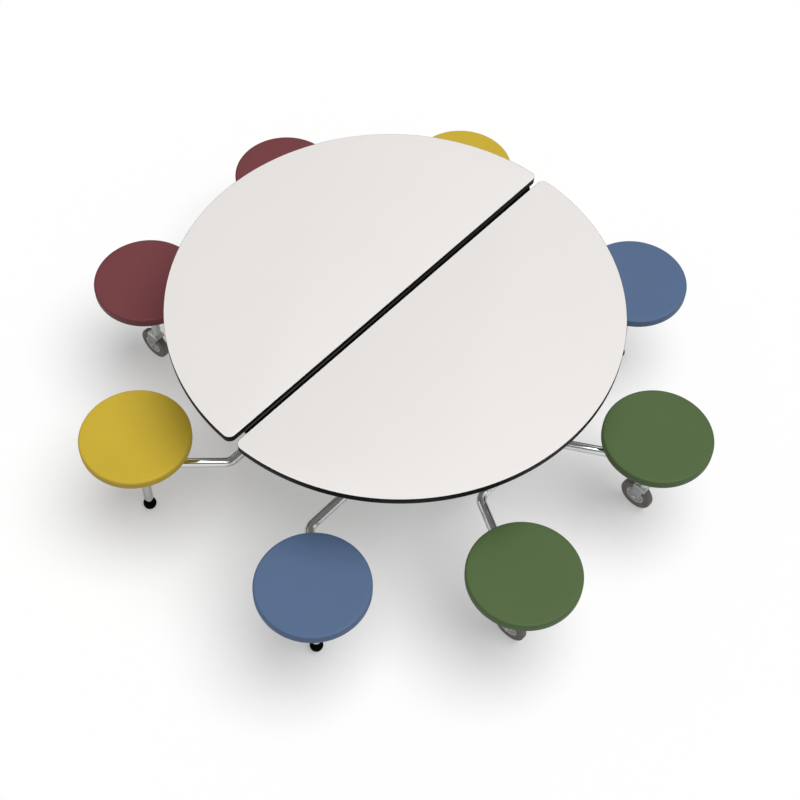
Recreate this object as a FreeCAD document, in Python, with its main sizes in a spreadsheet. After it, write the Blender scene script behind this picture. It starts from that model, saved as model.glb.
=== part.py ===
import FreeCAD, Part
import math
import os
import Sketcher

# Round folding table on casters with eight swivel seats.
# Frame: +Z up, the floor at z = 0 under the table's middle, the fold line along Y.
# The two halves mirror each other about the fold line; half "a" is at +X, half "b" at -X.
# Each half has an outer frame on two casters and an inner frame on two rubber feet.
# The top half turns on both frames, two stay bars keep the frames upright, and the
# centre post carries the inner ends of the stays under the fold line.

SIZES = {
    # table top
    "top_radius": 760, "gap_half": 11, "table_height": 759, "top_thick": 25,
    "laminate_thick": 1.2, "band_thick": 2, "band_round": 0.8, "corner_radius": 25,
    # strip that fills the gap between the halves, fixed to half a
    "strip_middle": -2.6, "strip_bead": 6, "strip_half_length": 702, "strip_top": 758,
    "strip_foot": 736, "strip_leg": 4, "strip_web_low": 742, "strip_web_high": 748,
    # pivots of the fold
    "outer_pivot_x": 541, "inner_pivot_x": 190, "pivot_height": 714, "hinge_height": 699,
    "clamp_outer_y": 50, "clamp_inner_y": 230, "clamp_half": 18, "clamp_dome": 18,
    "clamp_flange": 34, "clamp_flange_thick": 6, "clamp_screw": 26,
    "running_gap": 0.05,
    # hoops that carry the top on the arms
    "hoop_radius": 12.5, "hoop_wall": 2, "hoop_bend": 50,
    "outer_hoop_y": 122, "inner_hoop_y": 330,
    # arm tubes
    "outer_arm_height": 301, "inner_arm_height": 287, "arm_radius": 17, "arm_wall": 2,
    "arm_bend": 45, "outer_bend_y": 161, "inner_bend_y": 630,
    # seat posts
    "post_radius": 16, "post_wall": 2, "post_top": 412.7,
    "outer_seat_x": 880, "outer_seat_y": 355, "inner_seat_x": 413, "inner_seat_y": 839,
    "outer_post_foot": 142, "inner_post_foot": 58,
    "glide_radius": 12, "glide_foot": 14, "glide_plug": 8,
    # seats and their swivels
    "seat_radius": 190, "seat_height": 459, "seat_thick": 33, "seat_round": 9,
    "seat_under_round": 4, "plate_radius": 80, "plate_thick": 5, "collar_radius": 22,
    "collar_height": 8, "spindle_length": 60,
    # rubber feet
    "ball_radius": 23.5, "ball_height": 22.5,
    # stay bars
    "stay_x": 35, "stay_drop": 305, "stay_thick": 6, "stay_plane": 149, "stay_eye": 14,
    "stay_half": 12, "ear_plane": 130, "ear_thick": 6, "stud_radius": 6, "stud_end": 156,
    "stud_collar": 10, "stay_side_gap": 0.5,
    # centre post and hinge
    "hinge_eye": 16, "hinge_rod": 8, "hinge_ear_thick": 6, "hinge_ear_a": 310,
    "hinge_ear_b": 300, "hinge_plate": 5, "hinge_plate_width": 50, "hinge_plate_near": 18,
    "hinge_plate_far": 88, "sleeve_radius": 13, "post_bar_half": 13, "spreader_radius": 9,
    "spreader_drop": 240, "rod_head": 12, "rod_head_thick": 4,
    # screws
    "screw_radius": 2.4, "screw_head": 4.5, "screw_head_thick": 2.5, "screw_depth": 17,
    # casters
    "wheel_radius": 62.5, "tyre_width": 28, "tyre_inner": 36, "tyre_round": 3.5,
    "rim_width": 26, "rim_wall": 4, "web_width": 8, "hub_radius": 15, "hub_width": 31,
    "axle_radius": 5, "axle_head": 8.5, "axle_end": 22.5, "caster_trail": 20,
    "fork_outer": 19.5, "fork_inner": 16.5, "fork_top": 136, "fork_roof": 132.5,
    "fork_eye": 13, "fork_back": 33, "fork_front": 6, "fork_shoulder": 92,
    "hood_front": 17.5, "hood_wall": 3, "hood_foot": 118.5, "race_radius": 18,
    "race_top": 139, "neck_radius": 17, "neck_top": 141.5, "stem_top": 182,
}

doc = FreeCAD.newDocument("folding_table")
sheet = doc.addObject("Spreadsheet::Sheet", "Sizes")
for row, (alias, value) in enumerate(SIZES.items(), start=1):
    cell = "A%d" % row
    sheet.set(cell, str(value))
    sheet.setAlias(cell, alias)
doc.recompute()

Z_AXIS = FreeCAD.Vector(0, 0, 1)
sub_parts = []


def ref(expression):
    """Turn bare size names into references to the sheet's cells."""
    text = str(expression)
    for alias in sorted(SIZES, key=len, reverse=True):
        text = text.replace(alias, "#" + alias[::-1] + "#")
    for alias in SIZES:
        text = text.replace("#" + alias[::-1] + "#", "Sizes." + alias)
    return text


def value(expression):
    """The number that an expression on the sheet's sizes gives."""
    return float(sheet.evalExpression(ref(expression)))


# ---------------------------------------------------------------- sketch helpers

def new_body(label, x="0", y="0", z="0", side="a"):
    """A body whose origin stands at (x, y, z); side b turns it half round the Z axis."""
    body = doc.addObject("PartDesign::Body", label)
    body.Label = label
    sign = ""
    if side == "b":
        sign = "-"
        body.Placement = FreeCAD.Placement(FreeCAD.Vector(), FreeCAD.Rotation(Z_AXIS, 180))
    body.setExpression("Placement.Base.x", sign + "(" + ref(x) + ")")
    body.setExpression("Placement.Base.y", sign + "(" + ref(y) + ")")
    body.setExpression("Placement.Base.z", ref(z))
    return body


def origin_plane(body, role):
    """One of the body's own origin planes."""
    return [item for item in body.Origin.OriginFeatures if item.Role == role][0]


def new_sketch(body, role, lift="0"):
    """A sketch on an origin plane, lifted along the plane's normal."""
    sketch = body.newObject("Sketcher::SketchObject", "sketch")
    sketch.AttachmentSupport = [(origin_plane(body, role), "")]
    sketch.MapMode = "FlatFace"
    sketch.setExpression("AttachmentOffset.Base.z", ref(lift))
    return sketch


def pin_point(sketch, element, end, x, y):
    """Hold one point of a sketch at (x, y), measured from the sketch's origin."""
    for kind, axis, expression in (("DistanceX", -2, x), ("DistanceY", -1, y)):
        if value(expression) == 0:
            sketch.addConstraint(Sketcher.Constraint("PointOnObject", element, end, axis))
            continue
        index = sketch.addConstraint(
            Sketcher.Constraint(kind, -1, 1, element, end, value(expression)))
        sketch.setExpression("Constraints[%d]" % index, ref(expression))


def circle(sketch, x, y, radius):
    """A circle whose centre and radius follow the sheet."""
    centre = FreeCAD.Vector(value(x), value(y), 0)
    element = sketch.addGeometry(Part.Circle(centre, Z_AXIS, value(radius)))
    pin_point(sketch, element, 3, x, y)
    index = sketch.addConstraint(Sketcher.Constraint("Radius", element, value(radius)))
    sketch.setExpression("Constraints[%d]" % index, ref(radius))


def polygon(sketch, corners):
    """A closed outline of straight lines through the given corners."""
    points = [FreeCAD.Vector(value(x), value(y), 0) for x, y in corners]
    count = len(points)
    first = sketch.GeometryCount
    for index in range(count):
        sketch.addGeometry(Part.LineSegment(points[index], points[(index + 1) % count]))
    for index in range(count):
        after = first + (index + 1) % count
        sketch.addConstraint(Sketcher.Constraint("Coincident", first + index, 2, after, 1))
        pin_point(sketch, first + index, 1, *corners[index])


def half_round(sketch, inset):
    """Half-disc outline: straight edge beside the fold line, rounded corners."""
    gap = value("gap_half")
    radius = value("top_radius")
    corner = value("corner_radius")
    reach = math.sqrt((radius - corner) ** 2 - corner ** 2)
    swing = math.atan2(reach, corner)
    edge = gap + value(inset)
    near = FreeCAD.Vector(gap, 0, 0)
    upper = FreeCAD.Vector(gap + corner, reach, 0)
    lower = FreeCAD.Vector(gap + corner, -reach, 0)
    small = corner - value(inset)
    line = sketch.addGeometry(Part.LineSegment(
        FreeCAD.Vector(edge, -reach, 0), FreeCAD.Vector(edge, reach, 0)))
    top = sketch.addGeometry(Part.ArcOfCircle(Part.Circle(upper, Z_AXIS, small), swing, math.pi))
    rim = sketch.addGeometry(Part.ArcOfCircle(
        Part.Circle(near, Z_AXIS, radius - value(inset)), -swing, swing))
    base = sketch.addGeometry(Part.ArcOfCircle(
        Part.Circle(lower, Z_AXIS, small), math.pi, 2 * math.pi - swing))
    for one, end_one, two, end_two in ((line, 2, top, 2), (top, 1, rim, 2),
                                       (rim, 1, base, 2), (base, 1, line, 1)):
        sketch.addConstraint(Sketcher.Constraint("Tangent", one, end_one, two, end_two))
    sketch.addConstraint(Sketcher.Constraint("Vertical", line))
    pins = (("DistanceX", (-1, 1, line, 1), "gap_half + " + inset),
            ("DistanceX", (-1, 1, rim, 3), "gap_half"),
            ("Radius", (rim,), "top_radius - " + inset),
            ("Radius", (top,), "corner_radius - " + inset),
            ("Radius", (base,), "corner_radius - " + inset))
    for kind, items, expression in pins:
        index = sketch.addConstraint(Sketcher.Constraint(kind, *items, value(expression)))
        sketch.setExpression("Constraints[%d]" % index, ref(expression))
    sketch.addConstraint(Sketcher.Constraint("PointOnObject", rim, 3, -1))


def bent_path(sketch, start, corner, end, bend):
    """An open path of two straight runs joined by a tangent arc of the given radius."""
    places = [FreeCAD.Vector(value(x), value(y), 0) for x, y in (start, corner, end)]
    radius = value(bend)
    into = (places[1] - places[0]).normalize()
    out = (places[2] - places[1]).normalize()
    turn = into.getAngle(out)
    set_back = radius * math.tan(turn / 2)
    enter = places[1] - into * set_back
    leave = places[1] + out * set_back
    inward = (out - into).normalize()
    centre = places[1] + inward * (radius / math.cos(turn / 2))
    middle = centre - inward * radius
    first = sketch.addGeometry(Part.LineSegment(places[0], enter))
    arc = sketch.addGeometry(Part.Arc(enter, middle, leave))
    last = sketch.addGeometry(Part.LineSegment(leave, places[2]))
    arc_start, arc_end = 1, 2
    if (sketch.getPoint(arc, 1) - enter).Length > 0.001:
        arc_start, arc_end = 2, 1
    sketch.addConstraint(Sketcher.Constraint("Tangent", first, 2, arc, arc_start))
    sketch.addConstraint(Sketcher.Constraint("Tangent", arc, arc_end, last, 1))
    pin_point(sketch, first, 1, *start)
    pin_point(sketch, last, 2, *end)
    index = sketch.addConstraint(Sketcher.Constraint("Radius", arc, radius))
    sketch.setExpression("Constraints[%d]" % index, ref(bend))
    if abs(into.x) < 1e-9:
        sketch.addConstraint(Sketcher.Constraint("Vertical", first))
    else:
        sketch.addConstraint(Sketcher.Constraint("Horizontal", first))
    knee = sketch.addGeometry(Part.Point(places[1]), True)
    sketch.addConstraint(Sketcher.Constraint("PointOnObject", knee, 1, first))
    sketch.addConstraint(Sketcher.Constraint("PointOnObject", knee, 1, last))
    along = ("DistanceY", corner[1]) if abs(into.x) < 1e-9 else ("DistanceX", corner[0])
    index = sketch.addConstraint(Sketcher.Constraint(along[0], -1, 1, knee, 1, value(along[1])))
    sketch.setExpression("Constraints[%d]" % index, ref(along[1]))


# --------------------------------------------------------------- feature helpers

def feature(body, kind, sketch=None):
    """A new feature of the body, made from a sketch."""
    made = body.newObject("PartDesign::" + kind, kind.lower())
    if sketch is not None:
        made.Profile = sketch
        sketch.Visibility = False
    return made


def pad(body, draw, low, high, role="XY_Plane"):
    """Fill a drawn outline between two distances along the plane's own axis."""
    sign = "-" if role == "XZ_Plane" else ""
    lift = "%s((%s) + (%s)) / 2" % (sign, low, high)
    sketch = new_sketch(body, role, lift)
    draw(sketch)
    made = feature(body, "Pad", sketch)
    made.SideType = "Symmetric"
    made.setExpression("Length", ref("(%s) - (%s)" % (high, low)))
    return made


def pocket(body, draw, low, high, role="XY_Plane"):
    """Cut a drawn outline away between two distances along the plane's own axis."""
    sign = "-" if role == "XZ_Plane" else ""
    lift = "%s((%s) + (%s)) / 2" % (sign, low, high)
    doc.recompute()
    before = body.Tip.Shape.Volume
    sketch = new_sketch(body, role, lift)
    draw(sketch)
    made = feature(body, "Pocket", sketch)
    made.SideType = "Symmetric"
    made.setExpression("Length", ref("(%s) - (%s)" % (high, low)))
    doc.recompute()
    if made.Shape.Volume >= before - 1:
        raise RuntimeError("a pocket of %s cut nothing" % body.Label)
    return made


def disc(x, y, radius):
    """Draws a circle."""
    return lambda sketch: circle(sketch, x, y, radius)


def ring(x, y, outer, inner):
    """Draws two circles on one centre."""
    def draw(sketch):
        circle(sketch, x, y, outer)
        circle(sketch, x, y, inner)
    return draw


def shape_of(corners):
    """Draws a closed outline."""
    return lambda sketch: polygon(sketch, corners)


def pipe(body, kind, radius, at, start, corner, end, bend, path_plane):
    """Carry a circle along a bent path that starts square to the XZ plane."""
    path = new_sketch(body, path_plane)
    bent_path(path, start, corner, end, bend)
    section = new_sketch(body, "XZ_Plane")
    circle(section, at[0], at[1], radius)
    made = feature(body, kind, section)
    made.Spine = (path, ["Edge1", "Edge2", "Edge3"])
    path.Visibility = False
    return made


def mirror(body, features):
    """Repeat features on the other side of the XZ plane."""
    made = body.newObject("PartDesign::Mirrored", "mirrored")
    made.Originals = features
    made.MirrorPlane = (origin_plane(body, "XZ_Plane"), [""])
    body.Tip = made
    return made


def round_edges(body, radius, chosen):
    """Round the edges of the body's last feature that pass a test."""
    doc.recompute()
    base = body.Tip
    names = ["Edge%d" % (index + 1) for index, edge in enumerate(base.Shape.Edges)
             if chosen(edge)]
    if not names:
        raise RuntimeError("no edge to round on %s" % body.Label)
    made = body.newObject("PartDesign::Fillet", "fillet")
    made.Base = (base, names)
    made.setExpression("Radius", ref(radius))
    body.Tip = made
    return made


def keep(item):
    """Mark an object as a sub-part, to be written to its own file."""
    sub_parts.append(item)
    return item


def group(label, members):
    """Several separate like solids that share one node."""
    made = doc.addObject("Part::Compound", label)
    made.Label = label
    made.Links = members
    return keep(made)


# ------------------------------------------------------------------- table tops

UNDERSIDE = "(table_height - top_thick)"
LAMINATE_FLOOR = "(table_height - laminate_thick)"


def screw_places():
    """Where the wood screws of one half go: (x, y, height of the clamped face)."""
    places = []
    for pivot, along in (("outer_pivot_x", "clamp_outer_y"), ("inner_pivot_x", "clamp_inner_y")):
        for side in ("", "-"):
            for step in ("+", "-"):
                x = "%s %s clamp_screw" % (pivot, step)
                places.append((x, side + along, UNDERSIDE + " - clamp_flange_thick"))
    return places


def bracket_screw_places(ear, outward):
    """The four screws of each hinge bracket of one half."""
    places = []
    for side in ("", "-"):
        sign = "+" if outward else "-"
        middle = "%s(%s %s (hinge_plate_width + hinge_ear_thick) / 2)" % (side, ear, sign)
        for x in ("hinge_plate_near + 18", "hinge_plate_far - 18"):
            for step in ("+", "-"):
                places.append((x, "%s %s hinge_plate_width / 4" % (middle, step),
                               UNDERSIDE + " - hinge_plate"))
    return places


def all_screws(side):
    ear = "hinge_ear_a" if side == "a" else "hinge_ear_b"
    return screw_places() + bracket_screw_places(ear, side == "a")


def top_core(side):
    """Particle-board core of one half, drilled for the screws from below."""
    body = new_body("top_core_" + side, side=side)
    pad(body, lambda sketch: half_round(sketch, "band_thick"), UNDERSIDE, LAMINATE_FLOOR)

    def holes(sketch):
        for x, y, _ in all_screws(side):
            circle(sketch, x, y, "screw_radius + running_gap")

    pocket(body, holes, UNDERSIDE + " - 1", UNDERSIDE + " + screw_depth")
    return keep(body)


def laminate(side):
    """Hard decorative sheet on the core and over the top of the edge band."""
    body = new_body("laminate_" + side, side=side)
    pad(body, lambda sketch: half_round(sketch, "0"), LAMINATE_FLOOR, "table_height")
    return keep(body)


def edge_band(side):
    """Black band glued round the edge of the half, its lower outer arris rounded."""
    body = new_body("edge_band_" + side, side=side)

    def outlines(sketch):
        half_round(sketch, "0")
        half_round(sketch, "band_thick")

    pad(body, outlines, UNDERSIDE, LAMINATE_FLOOR)
    floor = value(UNDERSIDE)
    outside = value("top_radius - band_thick / 2")
    centre = FreeCAD.Vector(value("gap_half"), 0, floor)

    def lower_rim(edge):
        middle = edge.valueAt((edge.FirstParameter + edge.LastParameter) / 2)
        return abs(edge.BoundBox.ZMax - floor) < 0.01 and (middle - centre).Length > outside

    round_edges(body, "band_round", lower_rim)
    return keep(body)


def gap_strip():
    """Black filler between the halves: a round bead on a web and a leg fixed to half a."""
    body = new_body("gap_strip")
    axis = "strip_top - strip_bead"
    pad(body, disc("strip_middle", axis, "strip_bead"),
        "-strip_half_length", "strip_half_length", "XZ_Plane")
    leg = [("gap_half", "strip_web_high"), ("gap_half", "strip_foot"),
           ("gap_half - strip_leg", "strip_foot"), ("gap_half - strip_leg", "strip_web_low"),
           ("strip_middle - strip_bead / 3", "strip_web_low"),
           ("strip_middle - strip_bead / 3", "strip_web_high")]
    pad(body, shape_of(leg), "-strip_half_length", "strip_half_length", "XZ_Plane")
    return keep(body)


# ------------------------------------------------------- pivot clamps and screws

def pivot_clamp(label, side, x, y):
    """Moulded saddle block under the top, in which a hoop turns."""
    body = new_body(label, x, y, "0", side)
    low = "-clamp_half"
    flange_floor = UNDERSIDE + " - clamp_flange_thick"
    pad(body, shape_of([("-clamp_flange", UNDERSIDE), ("-clamp_flange", flange_floor),
                        ("clamp_flange", flange_floor), ("clamp_flange", UNDERSIDE)]),
        low, "clamp_half", "XZ_Plane")
    pad(body, shape_of([("-clamp_dome", UNDERSIDE + " - 1"), ("-clamp_dome", "pivot_height"),
                        ("clamp_dome", "pivot_height"), ("clamp_dome", UNDERSIDE + " - 1")]),
        low, "clamp_half", "XZ_Plane")
    pad(body, disc("0", "pivot_height", "clamp_dome"), low, "clamp_half", "XZ_Plane")
    pocket(body, disc("0", "pivot_height", "hoop_radius + running_gap"),
           "-clamp_half - 1", "clamp_half + 1", "XZ_Plane")

    def screw_holes(sketch):
        circle(sketch, "clamp_screw", "0", "screw_radius + running_gap")
        circle(sketch, "-clamp_screw", "0", "screw_radius + running_gap")

    pocket(body, screw_holes, flange_floor + " - 1", UNDERSIDE + " + 1")
    return body


def pivot_clamps(side):
    members = []
    for name, x, y in (("outer", "outer_pivot_x", "clamp_outer_y"),
                       ("inner", "inner_pivot_x", "clamp_inner_y")):
        for number, sign in ((1, ""), (2, "-")):
            label = "clamp_%s_%d_%s" % (name, number, side)
            members.append(pivot_clamp(label, side, x, sign + y))
    return group("pivot_clamps_" + side, members)


def cylinder(name, radius, height, x, y, z, side="a"):
    """An upright cylinder primitive whose sizes and place follow the sheet."""
    made = doc.addObject("Part::Cylinder", name)
    made.setExpression("Radius", ref(radius))
    made.setExpression("Height", ref(height))
    sign = "-" if side == "b" else ""
    made.setExpression("Placement.Base.x", "%s(%s)" % (sign, ref(x)))
    made.setExpression("Placement.Base.y", "%s(%s)" % (sign, ref(y)))
    made.setExpression("Placement.Base.z", ref(z))
    return made


def top_screws(side):
    """Pan-head wood screws: a flat head below the clamped plate and a shank in the core."""
    members = []
    for number, (x, y, seat) in enumerate(all_screws(side), start=1):
        name = "screw_%s_%d" % (side, number)
        head = cylinder(name + "_head", "screw_head", "screw_head_thick",
                        x, y, seat + " - screw_head_thick", side)
        shank = cylinder(name + "_shank", "screw_radius",
                         UNDERSIDE + " + screw_depth - (" + seat + ")", x, y, seat, side)
        screw = doc.addObject("Part::Fuse", name)
        screw.Base = head
        screw.Tool = shank
        members.append(screw)
    return group("top_screws_" + side, members)


# ---------------------------------------------------------------- frames of tube

def stud(body, x, z):
    """Pivot stud for a stay bar: shaft, spacer collar and retaining cap, along +Y."""
    ear_face = "ear_plane + ear_thick / 2"
    near = "stay_plane - stay_thick / 2 - stay_side_gap"
    far = "stay_plane + stay_thick / 2 + stay_side_gap"
    return [pad(body, disc(x, z, "stud_radius"), "ear_plane", "stud_end", "XZ_Plane"),
            pad(body, disc(x, z, "stud_collar"), ear_face + " - 1", near, "XZ_Plane"),
            pad(body, disc(x, z, "stud_collar"), far, "stud_end", "XZ_Plane")]


def arm_tube(label, side, x, bend_y, seat_x, seat_y, height, with_lugs):
    """Bent tube from post to post, parallel to the fold line between its bends."""
    body = new_body(label, "0", "0", height, side)
    route = ((x, "0"), (x, bend_y), (seat_x, seat_y), "arm_bend", "XY_Plane")
    parts = [pipe(body, "AdditivePipe", "arm_radius", (x, "0"), *route)]
    if with_lugs:
        tip_x = x + " + stay_x"
        tip_z = "pivot_height - stay_drop - " + height
        lean = [(x + " - stay_eye", "arm_radius / 2"), (x + " + stay_eye", "arm_radius / 2"),
                (tip_x + " + stay_eye", tip_z), (tip_x + " - stay_eye", tip_z)]
        low = "ear_plane - ear_thick / 2"
        high = "ear_plane + ear_thick / 2"
        parts.append(pad(body, shape_of(lean), low, high, "XZ_Plane"))
        parts.append(pad(body, disc(tip_x, tip_z, "stay_eye"), low, high, "XZ_Plane"))
        parts += stud(body, tip_x, tip_z)
    parts.append(pipe(body, "SubtractivePipe", "arm_radius - arm_wall", (x, "0"), *route))
    mirror(body, parts)

    def posts(sketch):
        circle(sketch, seat_x, seat_y, "post_radius")
        circle(sketch, seat_x, "-" + seat_y, "post_radius")

    pocket(body, posts, "-2 * arm_radius", "2 * arm_radius")
    return keep(body)


def hoop(label, side, x, half_width, arm_height, with_ears):
    """Bent tube that stands on the arm; its level top turns in the pivot clamps."""
    body = new_body(label, x, "0", "pivot_height", side)
    foot = arm_height + " - pivot_height"
    route = (("0", "0"), (half_width, "0"), (half_width, foot), "hoop_bend", "YZ_Plane")
    parts = [pipe(body, "AdditivePipe", "hoop_radius", ("0", "0"), *route)]
    if with_ears:
        start = "hoop_radius / 3"
        plate = [(start, "-stay_drop - stay_eye"), ("stay_x", "-stay_drop - stay_eye"),
                 ("stay_x", "-stay_drop + stay_eye"), (start, "-stay_drop + stay_eye")]
        low = "ear_plane - ear_thick / 2"
        high = "ear_plane + ear_thick / 2"
        parts.append(pad(body, shape_of(plate), low, high, "XZ_Plane"))
        parts.append(pad(body, disc("stay_x", "-stay_drop", "stay_eye"), low, high, "XZ_Plane"))
        parts += stud(body, "stay_x", "-stay_drop")
    parts.append(pipe(body, "SubtractivePipe", "hoop_radius - hoop_wall", ("0", "0"), *route))
    mirror(body, parts)
    reach = half_width + " + 2 * hoop_radius"
    pocket(body, disc("0", foot, "arm_radius"), "-(%s)" % reach, reach, "XZ_Plane")
    return keep(body)


def seat_posts(label, side, x, y, foot, with_glides):
    """The two upright tubes of a frame; a glide closes the tube with a plug and a stem."""
    members = []
    for number, sign in ((1, ""), (2, "-")):
        name = "%s_%d" % (label, number)
        height = "post_top - " + foot
        outer = cylinder(name + "_outside", "post_radius", height, x, sign + y, foot, side)
        bore = cylinder(name + "_bore", "post_radius - post_wall", height, x, sign + y, foot, side)
        tube = doc.addObject("Part::Cut", name + "_tube")
        tube.Base = outer
        tube.Tool = bore
        if with_glides:
            plug = cylinder(name + "_plug", "post_radius - post_wall", "glide_plug",
                            x, sign + y, foot, side)
            stem = cylinder(name + "_stem", "glide_radius", foot + " - glide_foot",
                            x, sign + y, "glide_foot", side)
            joined = doc.addObject("Part::MultiFuse", name)
            joined.Shapes = [tube, plug, stem]
            tube = joined
        members.append(tube)
    return group(label, members)


def rubber_foot(label, side, x, y):
    """Ball-shaped rubber foot with a flat tread and a socket for the glide's stem."""
    ball = doc.addObject("Part::Sphere", label + "_ball")
    ball.setExpression("Radius", ref("ball_radius"))
    ball.setExpression("Placement.Base.z", ref("ball_height"))
    below = doc.addObject("Part::Box", label + "_below")
    for name in ("Length", "Width", "Height"):
        below.setExpression(name, ref("4 * ball_radius"))
    below.setExpression("Placement.Base.x", ref("-2 * ball_radius"))
    below.setExpression("Placement.Base.y", ref("-2 * ball_radius"))
    below.setExpression("Placement.Base.z", ref("-4 * ball_radius"))
    tread = doc.addObject("Part::Cut", label + "_tread")
    tread.Base = ball
    tread.Tool = below
    socket = cylinder(label + "_socket", "glide_radius", "4 * ball_radius", "0", "0",
                      "glide_foot")
    made = doc.addObject("Part::Cut", label)
    made.Label = label
    made.Base = tread
    made.Tool = socket
    sign = "-" if side == "b" else ""
    made.setExpression("Placement.Base.x", "%s(%s)" % (sign, ref(x)))
    made.setExpression("Placement.Base.y", "%s(%s)" % (sign, ref(y)))
    return made


def rubber_feet(side, x, y):
    return group("rubber_feet_" + side, [rubber_foot("foot_1_" + side, side, x, y),
                                         rubber_foot("foot_2_" + side, side, x, "-" + y)])


# ----------------------------------------------------------------------- fold

def hinge_bracket(label, side, ear, outward):
    """Plate under the top with an ear that drops to the hinge rod."""
    body = new_body(label, side=side)
    ear_low = ear + " - hinge_ear_thick / 2"
    ear_high = ear + " + hinge_ear_thick / 2"
    if outward:
        plate_low, plate_high = ear_low, ear_high + " + hinge_plate_width"
    else:
        plate_low, plate_high = ear_low + " - hinge_plate_width", ear_high
    floor = UNDERSIDE + " - hinge_plate"
    pad(body, shape_of([("hinge_plate_near", floor), ("hinge_plate_far", floor),
                        ("hinge_plate_far", UNDERSIDE), ("hinge_plate_near", UNDERSIDE)]),
        plate_low, plate_high, "XZ_Plane")
    slope = "hinge_eye * 0.7071"
    pad(body, shape_of([("hinge_plate_near", UNDERSIDE + " - 1"),
                        ("-" + slope, "hinge_height + " + slope),
                        (slope, "hinge_height - " + slope),
                        ("hinge_plate_far", UNDERSIDE + " - 1")]),
        ear_low, ear_high, "XZ_Plane")
    pad(body, disc("0", "hinge_height", "hinge_eye"), ear_low, ear_high, "XZ_Plane")
    pocket(body, disc("0", "hinge_height", "hinge_rod + running_gap"),
           ear_low + " - 1", ear_high + " + 1", "XZ_Plane")

    def screw_holes(sketch):
        half = len(bracket_screw_places(ear, outward)) // 2
        for x, y, _ in bracket_screw_places(ear, outward)[:half]:
            circle(sketch, x, y, "screw_radius + running_gap")

    pocket(body, screw_holes, floor + " - 1", UNDERSIDE + " + 1")
    return body


def hinge_brackets(side):
    """The two brackets of one half; the second is the first mirrored across the fold."""
    ear = "hinge_ear_a" if side == "a" else "hinge_ear_b"
    first = hinge_bracket("hinge_bracket_1_" + side, side, ear, side == "a")
    second = doc.addObject("Part::Mirroring", "hinge_bracket_2_" + side)
    second.Source = first
    second.Normal = FreeCAD.Vector(0, 1, 0)
    return group("hinge_brackets_" + side, [first, second])


def hinge_rod():
    """Steel rod through all the hinge eyes, with a flat head at each end."""
    body = new_body("hinge_rod", "0", "0", "hinge_height")
    face = "hinge_ear_a + hinge_ear_thick / 2 + stay_side_gap"
    end = face + " + rod_head_thick"
    pad(body, disc("0", "0", "hinge_rod"), "-(%s)" % end, end, "XZ_Plane")
    head = pad(body, disc("0", "0", "rod_head"), face, end, "XZ_Plane")
    mirror(body, [head])
    return keep(body)


def centre_post():
    """Two hanging plates on a sleeve round the hinge rod, with studs for the stays."""
    body = new_body("centre_post", "0", "0", "hinge_height")
    low = "ear_plane - ear_thick / 2"
    high = "ear_plane + ear_thick / 2"
    upright = [("-post_bar_half", "0"), ("post_bar_half", "0"),
               ("post_bar_half", "-stay_drop"), ("-post_bar_half", "-stay_drop")]
    cross = [("-stay_x", "-stay_drop - stay_eye"), ("stay_x", "-stay_drop - stay_eye"),
             ("stay_x", "-stay_drop + stay_eye"), ("-stay_x", "-stay_drop + stay_eye")]
    parts = [pad(body, shape_of(upright), low, high, "XZ_Plane"),
             pad(body, shape_of(cross), low, high, "XZ_Plane"),
             pad(body, disc("0", "0", "hinge_eye"), low, high, "XZ_Plane")]
    for sign in ("", "-"):
        parts.append(pad(body, disc(sign + "stay_x", "-stay_drop", "stay_eye"),
                         low, high, "XZ_Plane"))
        parts += stud(body, sign + "stay_x", "-stay_drop")
    parts.append(pad(body, disc("0", "0", "sleeve_radius"), "0", low + " + 1", "XZ_Plane"))
    parts.append(pad(body, disc("0", "-spreader_drop", "spreader_radius"), "0", low + " + 1",
                     "XZ_Plane"))
    mirror(body, parts)
    pocket(body, disc("0", "0", "hinge_rod + running_gap"), "-" + high + " - 20",
           high + " + 20", "XZ_Plane")
    return keep(body)


def stay_bar(label, side, face):
    """Flat bar with an eye at the outer frame, the inner frame and the centre post."""
    body = new_body(label, side=side)
    near = "stay_plane - stay_thick / 2"
    far = "stay_plane + stay_thick / 2"
    low, high = (near, far) if face > 0 else ("-(%s)" % far, "-(%s)" % near)
    level = "pivot_height - stay_drop"
    drop = "hinge_height - stay_drop"
    eyes = [("outer_pivot_x + stay_x", level), ("inner_pivot_x + stay_x", level),
            ("stay_x", drop)]
    for (x0, z0), (x1, z1) in zip(eyes, eyes[1:]):
        bar = [(x0, z0 + " - stay_half"), (x0, z0 + " + stay_half"),
               (x1, z1 + " + stay_half"), (x1, z1 + " - stay_half")]
        pad(body, shape_of(bar), low, high, "XZ_Plane")
    for x, z in eyes:
        pad(body, disc(x, z, "stay_eye"), low, high, "XZ_Plane")

    def holes(sketch):
        for x, z in eyes:
            circle(sketch, x, z, "stud_radius + running_gap")

    pocket(body, holes, low + " - 1", high + " + 1", "XZ_Plane")
    return body


def stay_bars(side):
    return group("stay_bars_" + side, [stay_bar("stay_bar_1_" + side, side, 1),
                                       stay_bar("stay_bar_2_" + side, side, -1)])


# ---------------------------------------------------------------------- seats

def seat(label, side, x, y):
    """Solid round seat with rounded edges."""
    body = new_body(label, x, y, "0", side)
    pad(body, disc("0", "0", "seat_radius"), "seat_height - seat_thick", "seat_height")
    top = value("seat_height")
    round_edges(body, "seat_round", lambda edge: abs(edge.BoundBox.ZMin - top) < 0.01)
    base = value("seat_height - seat_thick")
    round_edges(body, "seat_under_round", lambda edge: abs(edge.BoundBox.ZMax - base) < 0.01)
    return keep(body)


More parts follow.
